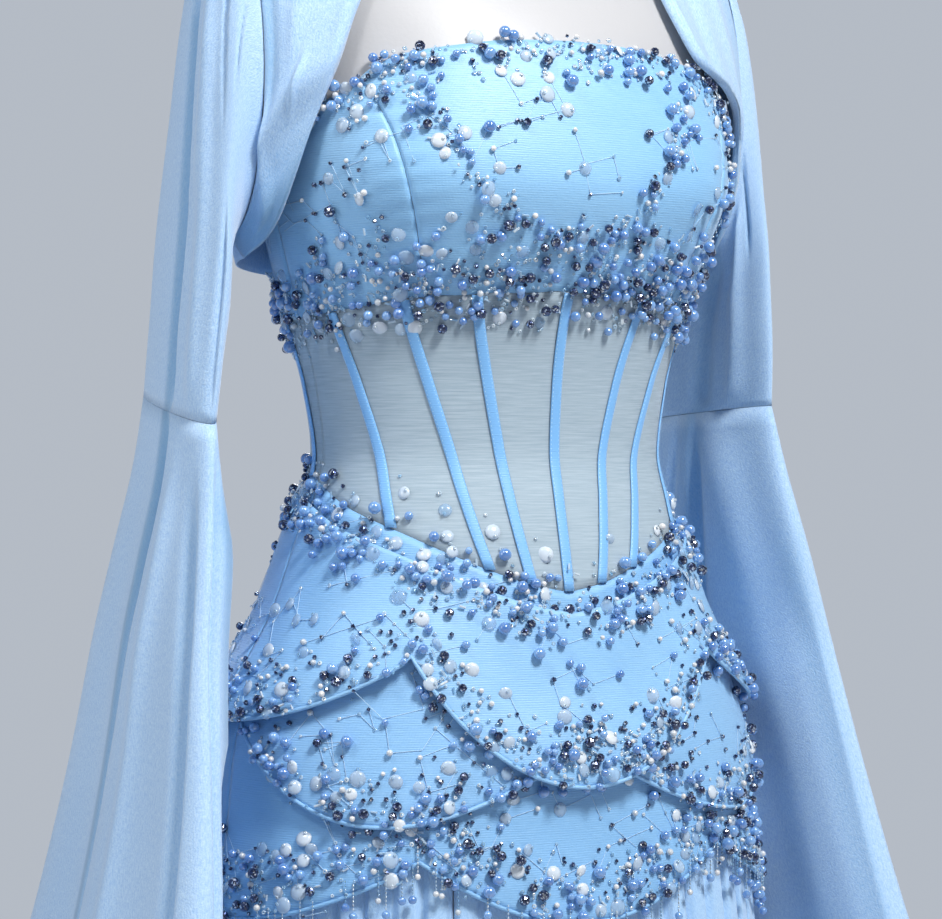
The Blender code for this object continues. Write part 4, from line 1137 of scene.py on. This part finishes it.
def across_line(points, path):
    """How far each point of a tube lies round from a line down it, and the line's strength."""
    rings, count = points.shape[:2]
    down = np.linspace(1, 0, rings)
    run = np.linalg.norm(np.roll(points, -1, axis=1) - points, axis=-1).cumsum(axis=1)
    girth = run[:, -1:]
    path = np.array(path)
    column = (-np.interp(down, path[:, 0], path[:, 1]) / 360 % 1) * count
    centre = np.array([np.interp(c, np.arange(count), row) for c, row in zip(column, run)])
    gap = (run - centre[:, None] + girth / 2) % girth - girth / 2
    start, end = path[0, 0], path[-1, 0]
    strength = np.clip((down - start) / LINE_FADE, 0, 1) * np.clip((end - down) / LINE_FADE, 0, 1)
    return gap, strength[:, None] ** 1.5


def laid_folds(points, folds):
    """Sink and raise long folds down a tube whose rings run up from its lower end."""
    depth = np.zeros(points.shape[:2])
    for size, width, crisp, path in folds:
        gap, strength = across_line(points, path)
        reach = np.where(gap < 0, width / crisp, width) * MM
        depth += size * MM * np.exp(-(gap / reach) ** 2) * strength
    round_it = np.roll(points, -1, axis=1) - np.roll(points, 1, axis=1)
    normal = np.cross(round_it, np.gradient(points, axis=0))
    normal /= np.linalg.norm(normal, axis=-1, keepdims=True)
    return points + normal * depth[..., None]


def painted_shade_of(points, shade_strips):
    """How much painted shade each point of a tube gets, 0 to 1."""
    shade = np.zeros(points.shape[:2])
    for size, width, path in shade_strips:
        gap, strength = across_line(points, path)
        shade = np.maximum(shade, size * np.exp(-(gap / (width * MM)) ** 4) * strength)
    return shade


def upper_sleeve(side, rings=41, count=200):
    """Rings from the elbow up to the armhole."""
    around = -np.arange(count) * 360 / count
    places = np.linspace(SLEEVE.rows[-1, 0], 0, rings)
    points = np.stack([sleeve_ring(place, around, ELBOW_TILT[side]) for place in places])
    eased = np.clip((SLEEVE.rows[-1, 0] - places) / UPPER_FADE, 0, 1)[:, None, None]
    return points + (laid_folds(points, UPPER_FOLDS[side]) - points) * eased


def bell_sleeve(side, rings=41, count=320):
    """Rings from the level hem up to the elbow, with soft folds that deepen downward."""
    around = -np.arange(count) * 2 * np.pi / count
    hem, elbow = BELL.rows[0, 0], BELL.rows[-1, 0]
    heights = np.linspace(hem, elbow, rings)
    stack = []
    for height in heights:
        read = {name: BELL.at(name, height) for name in BELL.columns[1:]}
        uneven = 1 + BELL_UNEVEN * np.sin(2 * around + side)
        wave = read["fold"] * BELL_EASE * uneven * np.cos(BELL_FOLDS * around)
        x = read["mid_x"] + (read["half_thin"] + wave) * np.sin(around)
        y = read["mid_y"] + (read["half_long"] + wave) * np.cos(around)
        z = height + ELBOW_TILT[side] * ((height - hem) / (elbow - hem)) ** TILT_FADE * np.cos(around)
        stack.append(swing_out(np.stack([x, y, z], axis=-1), read["mid_x"], read["mid_y"], BELL_SWING))
    points = np.stack(stack)
    eased = np.clip((elbow - heights) / BELL_FADE, 0, 1)[:, None, None]
    return points + (laid_folds(points, BELL_LAID[side]) - points) * eased


# Each sleeve piece carries its painted shade on its points.
for side, label in ((1, "R"), (-1, "L")):
    for part, shape, shade_strips in (("upper", upper_sleeve(side), UPPER_PAINTED_SHADE[side]),
                                 ("bell", bell_sleeve(side), BELL_PAINTED_SHADE[side])):
        shade = painted_shade_of(shape, shade_strips)
        if side == -1:
            shape, shade = mirrored(shape), shade[:, ::-1]
        cloth(f"sleeve_{part}_{label}_piece", shape, CHIFFON, sleeve_chiffon,
              [f"sleeve_{part}_{label}"], closed=True, painted_shade=shade)

# BEADWORK
# Glass pearls, cut crystals, opal paillettes, seed beads and bugles, sewn thickly along the
# bodice's edges, the basque line and every petal, and more thinly in chains between them.
# Every bead is a point here; each kind then gets its own shape and colour.
bead_luck = np.random.default_rng(20)
BEAD_KINDS = {
    # kind: least and greatest radius, and the share of it that stands off the cloth
    "blue_pearl": (2.2 * MM, 4.0 * MM, 0.85), "ivory_pearl": (1.4 * MM, 2.3 * MM, 0.85),
    "crystal": (2.6 * MM, 3.6 * MM, 0.85), "cut_bead": (1.2 * MM, 1.9 * MM, 0.85),
    "paillette": (3.9 * MM, 5.4 * MM, 0.34), "seed_bead": (1.0 * MM, 1.6 * MM, 0.7),
    "bugle": (0.8 * MM, 1.0 * MM, 0.9),
}
THICK_MIX = {"blue_pearl": 0.20, "ivory_pearl": 0.07, "crystal": 0.09, "cut_bead": 0.07,
             "paillette": 0.13, "seed_bead": 0.38, "bugle": 0.06}
OPEN_MIX = {"blue_pearl": 0.09, "ivory_pearl": 0.15, "crystal": 0.03, "cut_bead": 0.22,
            "paillette": 0.17, "seed_bead": 0.34}
ROOM_CELL, CLOSEST = 9.0 * MM, 0.80
SHRUG_COVERS, SHRUG_COVERS_ABOVE = 78.0, 1.128
sown = {kind: [] for kind in BEAD_KINDS}
sewn_down = {}
threads = []


def outer_face(angle, height):
    """Points and outward directions on whichever cloth is outermost there."""
    lift = np.where(height < BASQUE.at("height", off_front(angle)), tier_lift(3, angle, height), 0.0)
    for tier in (2, 1):
        inside = (height >= petal_edge(tier, angle) - EDGE_CORD) & (height <= tops[tier](angle))
        lift = np.where(inside, tier_lift(tier, angle, height), lift)
    return body_surface(angle, height, lift, with_normal=True)


def has_room(centre, radius):
    """Whether no bead is in the way there; if none is, the place counts as taken."""
    x, y, z = centre
    cell = (int(x // ROOM_CELL), int(y // ROOM_CELL), int(z // ROOM_CELL))
    for i in (cell[0] - 1, cell[0], cell[0] + 1):
        for j in (cell[1] - 1, cell[1], cell[1] + 1):
            for k in (cell[2] - 1, cell[2], cell[2] + 1):
                for a, b, c, size in sewn_down.get((i, j, k), ()):
                    reach = CLOSEST * (radius + size)
                    if (a - x) ** 2 + (b - y) ** 2 + (c - z) ** 2 < reach * reach:
                        return False
    sewn_down.setdefault(cell, []).append((x, y, z, radius))
    return True


def pick(mix, count):
    """Kinds of bead drawn from a mix."""
    shares = np.array(list(mix.values()))
    return bead_luck.choice(list(mix), count, p=shares / shares.sum())


def sow(kinds, angle, height, layer=0.0, lean=0.2):
    """Sew beads on one after the other, each only where there is still room.

    None lies under the shrug's back, which rests close on the bodice.
    """
    angle, height = np.asarray(angle), np.asarray(height)
    covered = (off_front(angle) > SHRUG_COVERS) & (height > SHRUG_COVERS_ABOVE)
    least, greatest, stands = np.array([BEAD_KINDS[kind] for kind in kinds]).T
    radius = least + (greatest - least) * bead_luck.random(len(kinds)) ** 1.4
    points, facing = outer_face(angle, height)
    centres = points + facing * (radius * stands + layer)[:, None]
    facing = facing + bead_luck.normal(size=facing.shape) * lean
    tints = bead_luck.random(len(kinds))
    rows = zip(kinds, centres.tolist(), facing, radius, tints, covered)
    for kind, centre, way, size, tint, hidden in rows:
        if not hidden and has_room(centre, size):
            sown[kind].append((*centre, *way, size, tint))


def sow_band(path, half_width, per_cm2, mix=THICK_MIX, heap=0.25):
    """Sew beads in uneven clusters along a line of angles and heights, thickest in its middle."""
    path = np.array(path, float)
    places = body_point(path[:, 0], path[:, 1])
    run = np.concatenate([[0], np.linalg.norm(np.diff(places, axis=0), axis=1).cumsum()])
    count = int(run[-1] * half_width * 2 * 1e4 * per_cm2)
    along = bead_luck.uniform(0, run[-1], count)
    cluster = 0.62 + 0.38 * np.sin(along * 170 + 2.2 * np.sin(along * 61))
    along = along[bead_luck.random(count) < cluster]
    count = len(along)
    angle, height = np.interp(along, run, path[:, 0]), np.interp(along, run, path[:, 1])
    slope = np.interp(along + 4 * MM, run, path[:, 1]) - np.interp(along - 4 * MM, run, path[:, 1])
    slope = np.clip(slope / (8 * MM), -0.95, 0.95)
    across = half_width * bead_luck.uniform(-0.5, 0.5, (2, count)).sum(axis=0)
    height = height + across * np.sqrt(1 - slope ** 2)
    angle = angle - degrees_for(across * slope, angle, height)
    layer = bead_luck.uniform(0, 3.0 * MM, count) * (bead_luck.random(count) < heap)
    sow(pick(mix, count), angle, height, layer)


def sow_chains(start, height, turns, length=(0.011, 0.023)):
    """Long stitches that turn from bead to bead, with something small sewn at each turn."""
    headings = np.radians(bead_luck.choice(turns, (len(start), 4)))
    steps = bead_luck.uniform(*length, headings.shape)
    last = None
    for heading, step in zip(headings.T, steps.T):
        sow(pick(OPEN_MIX, len(start)), start, height, lean=0.14)
        points, facing = outer_face(start, height)
        here = points + facing * 0.5 * MM
        if last is not None:
            threads.extend(zip(last, here))
        last = here
        height = height + step * np.sin(heading)
        start = start + degrees_for(step * np.cos(heading), start, height)


def round_line(function, start=-180.0, end=180.0, above=0.0, steps=181):
    """A line round the dress, a little above or below one of its edges."""
    angles = np.linspace(start, end, steps)
    return np.stack([angles, function(angles) + above], axis=-1)


BUST_ARC = (
    (-42, 1.249), (-36, 1.218), (-32, 1.200), (-26, 1.177), (-18, 1.161), (-10, 1.147),
    (-2, 1.143), (7, 1.149), (14, 1.161), (18, 1.176), (25, 1.208), (32, 1.240),
)
BUST_SIDE = ((44, 1.246), (52, 1.236), (56, 1.218), (57, 1.195), (54, 1.170), (51, 1.150))
sow_band(round_line(line(BODICE_TOP), above=-0.004), 0.008, 13.0, heap=0.4)
sow_band(round_line(line(BODICE_TOP), -60, 60, above=-0.015), 0.013, 3.6, heap=0.1)
sow_band(round_line(line(BAND_EDGE), above=0.006), 0.023, 14.0, heap=0.5)
sow_band(round_line(line(BAND_EDGE), above=0.030), 0.018, 3.4, heap=0.1)
sow_band(round_line(line(BAND_EDGE), above=-0.012), 0.012, 5.0, heap=0.1)
sow_band(BUST_ARC, 0.011, 8.5)
sow_band(BUST_SIDE, 0.010, 7.0)
sow_band([(-angle, height) for angle, height in BUST_SIDE], 0.010, 2.6, OPEN_MIX)
sow_band(round_line(line(BASQUE), above=-0.019), 0.016, 10.0, heap=0.4)
sow_band(round_line(line(BASQUE), above=0.004), 0.012, 2.4, heap=0.1)
for tier, above, half_width in ((1, 0.009, 0.013), (2, 0.009, 0.014), (3, 0.016, 0.020)):
    edge = edge_of(tier)
    sow_band(round_line(edge, above=above, steps=361), half_width, 8.5, heap=0.3)
    sow_band(round_line(edge, above=above + 0.016, steps=361), 0.013, 2.4, OPEN_MIX, heap=0.0)

CHAIN_TURNS = (15, -40, 60, -75, 5, 115, 200)
start = bead_luck.uniform(-180, 180, 60)
low, high = line(BAND_EDGE)(start) + 0.045, line(BODICE_TOP)(start) - 0.025
sow_chains(start, bead_luck.uniform(low, high), CHAIN_TURNS)
for tier, chains in ((1, 60), (2, 50), (3, 70)):
    start = bead_luck.uniform(-180, 180, chains)
    high = {1: tops[1](start) - 0.022, 2: petal_edge(1, start), 3: petal_edge(2, start)}[tier]
    low = petal_edge(tier, start) + 0.018
    roomy = high - low > 0.010
    sow_chains(start[roomy], bead_luck.uniform(low[roomy], high[roomy]), CHAIN_TURNS)
NET_STRAYS = ((-34, 0.985), (-20, 0.972), (-6, 0.958), (14, 0.966), (26, 0.958), (-48, 0.995))
for angle, height in NET_STRAYS:
    trio = np.array(((angle, height), (angle + 3, height - 0.014), (angle - 2, height + 0.010)))
    sow(["paillette", "blue_pearl", "seed_bead"], trio[:, 0], trio[:, 1])

# Drops of fringe under the lowest tier: a string of seed beads that ends in a pearl.
FRINGE_DROPS, FRINGE_STEP, FRINGE_SEED, FRINGE_STANDS_OFF = 150, 2.3 * MM, 1.0 * MM, 2.2 * MM
for number in range(FRINGE_DROPS):
    angle = np.array([-180 + 360 * (number + bead_luck.uniform(0.1, 0.9)) / FRINGE_DROPS])
    length, luck = bead_luck.uniform(0.012, 0.020), bead_luck.random(4)
    if luck[0] < 0.25:
        continue
    points, facing = outer_face(angle, petal_edge(3, angle) + 0.010 * luck[1])
    level = facing[0] * (1, 1, 0)
    hang = points[0] + level / np.linalg.norm(level) * FRINGE_STANDS_OFF
    for drop in np.arange(0.0, length, FRINGE_STEP):
        sown["seed_bead"].append((*(hang - (0, 0, drop)), 1.0, 0.0, 0.0, FRINGE_SEED, luck[2]))
    kind, radius = ("blue_pearl", 2.6 * MM) if luck[3] < 0.6 else ("ivory_pearl", 1.9 * MM)
    sown[kind].append((*(hang - (0, 0, length + radius)), 0.0, 0.0, 1.0, radius, luck[2]))

# Each paillette is held near its rim by a seed bead.
HOLDER_RADIUS, HOLDER_ABOVE, HOLDER_ASIDE = 1.1 * MM, 0.16, 0.6
for x, y, z, *facing, radius, tint in list(sown["paillette"]):
    facing = np.array(facing) / np.linalg.norm(facing)
    aside = np.cross(facing, bead_luck.normal(size=3))
    aside = aside / np.linalg.norm(aside) * radius * HOLDER_ASIDE
    centre = np.array((x, y, z)) + facing * radius * HOLDER_ABOVE + aside
    sown["seed_bead"].append((*centre, *facing, HOLDER_RADIUS, tint))


def turns_for(facing):
    """Euler turns that point each bead's own top along its facing, at a random spin."""
    up = facing / np.linalg.norm(facing, axis=1, keepdims=True)
    aside = np.cross(up, bead_luck.normal(size=up.shape))
    aside /= np.linalg.norm(aside, axis=1, keepdims=True)
    third = np.cross(up, aside)
    bend = np.arcsin(np.clip(-aside[:, 2], -1, 1))
    turns = (np.arctan2(third[:, 2], up[:, 2]), bend, np.arctan2(aside[:, 1], aside[:, 0]))
    return np.stack(turns, axis=1)


class Tree:
    """A Geometry Nodes tree with named inputs that ends in plain, coloured mesh."""

    def __init__(self, name, inputs):
        self.group = bpy.data.node_groups.new(name, "GeometryNodeTree")
        face = self.group.interface
        face.new_socket("Geometry", in_out="INPUT", socket_type="NodeSocketGeometry")
        for label, kind in (*inputs.items(), ("Finish", "Material")):
            face.new_socket(label, in_out="INPUT", socket_type="NodeSocket" + kind)
        face.new_socket("Geometry", in_out="OUTPUT", socket_type="NodeSocketGeometry")
        self.start = self.group.nodes.new("NodeGroupInput")

    def node(self, kind, settings=None, inputs=None):
        made = self.group.nodes.new(kind)
        for setting, value in (settings or {}).items():
            setattr(made, setting, value)
        for socket, value in (inputs or {}).items():
            if isinstance(value, bpy.types.NodeSocket):
                self.group.links.new(value, made.inputs[socket])
            else:
                made.inputs[socket].default_value = value
        return made.outputs[0]

    def maths(self, operation, first, second):
        return self.node("ShaderNodeMath", {"operation": operation}, {0: first, 1: second})

    def given(self, label):
        return self.start.outputs[label]

    def end(self, geometry, smooth):
        """Finish the tree: realize, shade and colour what it made."""
        real = self.node("GeometryNodeRealizeInstances", {}, {0: geometry})
        inputs = {"Geometry": real, "Shade Smooth": smooth}
        shaded = self.node("GeometryNodeSetShadeSmooth", {}, inputs)
        inputs = {"Geometry": shaded, "Material": self.given("Finish")}
        finished = self.node("GeometryNodeSetMaterial", {}, inputs)
        self.group.links.new(finished, self.group.nodes.new("NodeGroupOutput").inputs[0])

    def end_on_points(self, shape, smooth=True):
        """Finish the tree with the shape on every point, by the point's own turn and size."""
        named = "GeometryNodeInputNamedAttribute"
        turn = self.node(named, {"data_type": "FLOAT_VECTOR"}, {"Name": "turn"})
        size = self.node(named, {"data_type": "FLOAT"}, {"Name": "size"})
        inputs = {"Points": self.given("Geometry"), "Instance": shape, "Scale": size,
                  "Rotation": self.node("FunctionNodeEulerToRotation", {}, {0: turn})}
        self.end(self.node("GeometryNodeInstanceOnPoints", {}, inputs), smooth)


def grown(name, mesh, tree, paint, slot, **sizes):
    """Run a tree on a mesh, keep the plain result as a piece and hand it over."""
    seedling = bpy.data.objects.new(name + "_points", mesh)
    bpy.context.collection.objects.link(seedling)
    growth = seedling.modifiers.new("growth", "NODES")
    growth.node_group = tree.group
    for item in tree.group.interface.items_tree:
        if item.in_out == "INPUT" and item.name in sizes:
            growth[item.identifier] = sizes[item.name]
        if item.in_out == "INPUT" and item.name == "Finish":
            growth[item.identifier] = paint.material
    seen = seedling.evaluated_get(bpy.context.evaluated_depsgraph_get())
    made = bpy.data.meshes.new_from_object(seen)
    seedling.modifiers.remove(growth)
    bpy.data.objects.remove(seedling)
    made.name = name
    piece = bpy.data.objects.new(name, made)
    bpy.context.collection.objects.link(piece)
    return hand_over(piece, paint)


WAIST = 1.03


def sew(kind, tree, paint, **sizes):
    """One piece of each kind of bead above the waist, and one below it."""
    rows = np.array(sown[kind])
    for part, slot, chosen in (("bodice", "bodice_satin", rows[:, 2] >= WAIST),
                               ("tier", "tier_satin", rows[:, 2] < WAIST)):
        beads = rows[chosen].astype(np.float32)
        mesh = bpy.data.meshes.new(f"{part}_{kind}_points")
        mesh.from_pydata(beads[:, :3].tolist(), [], [])
        turns = turns_for(beads[:, 3:6]).astype(np.float32)
        for name, type_name, field, values in (
            ("turn", "FLOAT_VECTOR", "vector", turns), ("size", "FLOAT", "value", beads[:, 6]),
            ("tint", "FLOAT", "value", beads[:, 7]),
        ):
            mesh.attributes.new(name, type_name, "POINT").data.foreach_set(field, values.ravel())
        grown(f"{part}_{kind}s", mesh, tree, paint, slot, **sizes)


# PEARLS
# Round glass pearls under a soft nacre coat: periwinkle blue ones of four to eight
# millimetres and small ivory ones of three to five, each sewn down on the cloth.
ball = Tree("round_bead", {"Segments": "Int", "Rings": "Int"})
inputs = {"Segments": ball.given("Segments"), "Rings": ball.given("Rings"), "Radius": 1.0}
ball.end_on_points(ball.node("GeometryNodeMeshUVSphere", {}, inputs))
pearl = Paint("blue_pearl_nacre_painted_sheen", Roughness=0.17, Coat_Weight=1.0, Coat_Roughness=0.04,
              Coat_IOR=1.9, Specular_IOR_Level=1.0)
# Painted sheen: the blue pearls turn paler toward their rims as they face away from the eye, standing
# in for light the nacre reflects.
painted_rim_sheen = pearl.node("ShaderNodeLayerWeight", {}, {"Blend": 0.3}, "Facing")
body = pearl.mix(pearl.of_point("tint"), (0.060, 0.190, 0.54), (0.21, 0.43, 0.80))
pearl.feed("Base Color", pearl.mix(painted_rim_sheen * 0.5, body, (0.40, 0.62, 0.94)))
sew("blue_pearl", ball, pearl, Segments=10, Rings=6)
ivory = Paint("ivory_pearl_nacre", Roughness=0.17, Coat_Weight=1.0, Coat_Roughness=0.05,
              Coat_IOR=1.8)
ivory.feed("Base Color", ivory.mix(ivory.of_point("tint"), (0.58, 0.64, 0.70), (0.86, 0.84, 0.82)))
sew("ivory_pearl", ball, ivory, Segments=8, Rings=5)

# CRYSTALS
# Dark machine-cut glass balls and small dark cut beads of the same glass, with painted
# glints of silver, gold and blue in tiny cells of their colour. Flat facets, no smoothing.
cut = Tree("cut_bead", {"Cuts": "Int"})
inputs = {"Subdivisions": cut.given("Cuts"), "Radius": 1.0}
cut.end_on_points(cut.node("GeometryNodeMeshIcoSphere", {}, inputs), smooth=False)
crystal = Paint("dark_cut_glass_painted_glints", Metallic=0.75, Coat_Weight=1.0, Coat_Roughness=0.03)
inputs = {"Vector": crystal.here(), "Scale": 1100.0}
cells = crystal.node("ShaderNodeTexVoronoi", {}, inputs, "Color")
red, green, blue = crystal.parts(cells)
# Painted glints: the brightest cells of the pattern are coloured pale silver, gold or blue.
painted_glint = ((red - 0.80) * 9.0).most(0.0).least(1.0)
dark = crystal.mix(green, (0.012, 0.018, 0.05), (0.06, 0.09, 0.22))
glint_colour = crystal.mix(blue, (0.80, 0.78, 0.74), (0.66, 0.80, 1.0))
crystal.feed("Base Color", crystal.mix(painted_glint, dark, glint_colour))
crystal.feed("Roughness", 0.10 + green * 0.14)
sew("crystal", cut, crystal, Cuts=2)
sew("cut_bead", cut, crystal, Cuts=1)

# PAILLETTES
# Opal-white domed discs of eight to eleven millimetres, each held near its rim by a seed
# bead, so that it tips its own way on the cloth.
disc = Tree("domed_paillette", {"Thickness": "Float", "Dome": "Float"})
inputs = {"Segments": 12, "Rings": 5, "Radius": 1.0}
round_shape = disc.node("GeometryNodeMeshUVSphere", {}, inputs)
split = disc.node("ShaderNodeSeparateXYZ", {}, {0: disc.node("GeometryNodeInputPosition")}).node
x, y, z = split.outputs
out = disc.maths("ADD", disc.maths("MULTIPLY", x, x), disc.maths("MULTIPLY", y, y))
thin = disc.maths("MULTIPLY", z, disc.given("Thickness"))
domed = disc.maths("SUBTRACT", thin, disc.maths("MULTIPLY", out, disc.given("Dome")))
pressed = disc.node("ShaderNodeCombineXYZ", {}, {0: x, 1: y, 2: domed})
inputs = {"Geometry": round_shape, "Position": pressed}
disc.end_on_points(disc.node("GeometryNodeSetPosition", {}, inputs))
opal = Paint("opal_paillette", Roughness=0.20, Coat_Weight=0.7, Coat_Roughness=0.06,
             Specular_IOR_Level=0.7)
tint = opal.of_point("tint")
opal.feed("Base Color", opal.mix(tint, (0.40, 0.62, 0.86), (0.80, 0.86, 0.92)))
opal.feed("Alpha", (0.36 + tint * 0.70).least(0.96))
sew("paillette", disc, opal, Thickness=0.09, Dome=0.24)

# SEED BEADS AND BUGLES
# Clear and aqua glass rings of two to three millimetres, and short tubes of the same
# glass. Seed beads also hang in the drops of fringe under the lowest tier.
circle = "GeometryNodeCurvePrimitiveCircle"
ring = Tree("seed_bead", {"Wall": "Float"})
path = ring.node(circle, {"mode": "RADIUS"}, {"Resolution": 7, "Radius": 0.62})
section = ring.node(circle, {"mode": "RADIUS"}, {"Resolution": 3, "Radius": ring.given("Wall")})
inputs = {"Curve": path, "Profile Curve": section}
ring.end_on_points(ring.node("GeometryNodeCurveToMesh", {}, inputs))
glass = Paint("aqua_seed_glass", Roughness=0.05, Coat_Weight=1.0, Coat_Roughness=0.02,
              Coat_IOR=2.0, Specular_IOR_Level=1.0)
tint = glass.of_point("tint")
glass.feed("Base Color", glass.mix(tint, (0.26, 0.56, 0.84), (0.90, 0.97, 1.0)))
glass.feed("Alpha", 0.62 + tint * 0.3)
sew("seed_bead", ring, glass, Wall=0.42)
tube = Tree("bugle", {"Long": "Float"})
inputs = {"Vertices": 6, "Radius": 0.8, "Depth": tube.given("Long")}
upright = tube.node("GeometryNodeMeshCylinder", {}, inputs)
inputs = {"Geometry": upright, "Rotation": (0.0, np.pi / 2, 0.0)}
tube.end_on_points(tube.node("GeometryNodeTransform", {}, inputs), smooth=False)
sew("bugle", tube, glass, Long=4.6)

# LONG STITCHES
# Pale blue silk thread that runs on the surface from bead to bead in angular chains. Each
# stitch is one thin round strand between two beads.
STITCH_RADIUS = 0.20 * MM
silk = Paint("pale_silk_thread", Roughness=0.5, Sheen_Weight=0.5)
twist = silk.noise(silk.here(), 900.0, 2.0)
silk.feed("Base Color", silk.mix(twist, (0.36, 0.62, 0.90), (0.66, 0.84, 0.97)))
strand = Tree("long_stitch", {"Radius": "Float"})
path = strand.node("GeometryNodeMeshToCurve", {}, {0: strand.given("Geometry")})
inputs = {"Resolution": 4, "Radius": strand.given("Radius")}
section = strand.node(circle, {"mode": "RADIUS"}, inputs)
inputs = {"Curve": path, "Profile Curve": section, "Fill Caps": True}
strand.end(strand.node("GeometryNodeCurveToMesh", {}, inputs), True)
mesh = bpy.data.meshes.new("long_stitch_lines")
ends = [tuple(point) for thread in threads for point in thread]
mesh.from_pydata(ends, [(2 * i, 2 * i + 1) for i in range(len(threads))], [])
grown("long_silk_stitches", mesh, strand, silk, "tier_satin", Radius=STITCH_RADIUS)
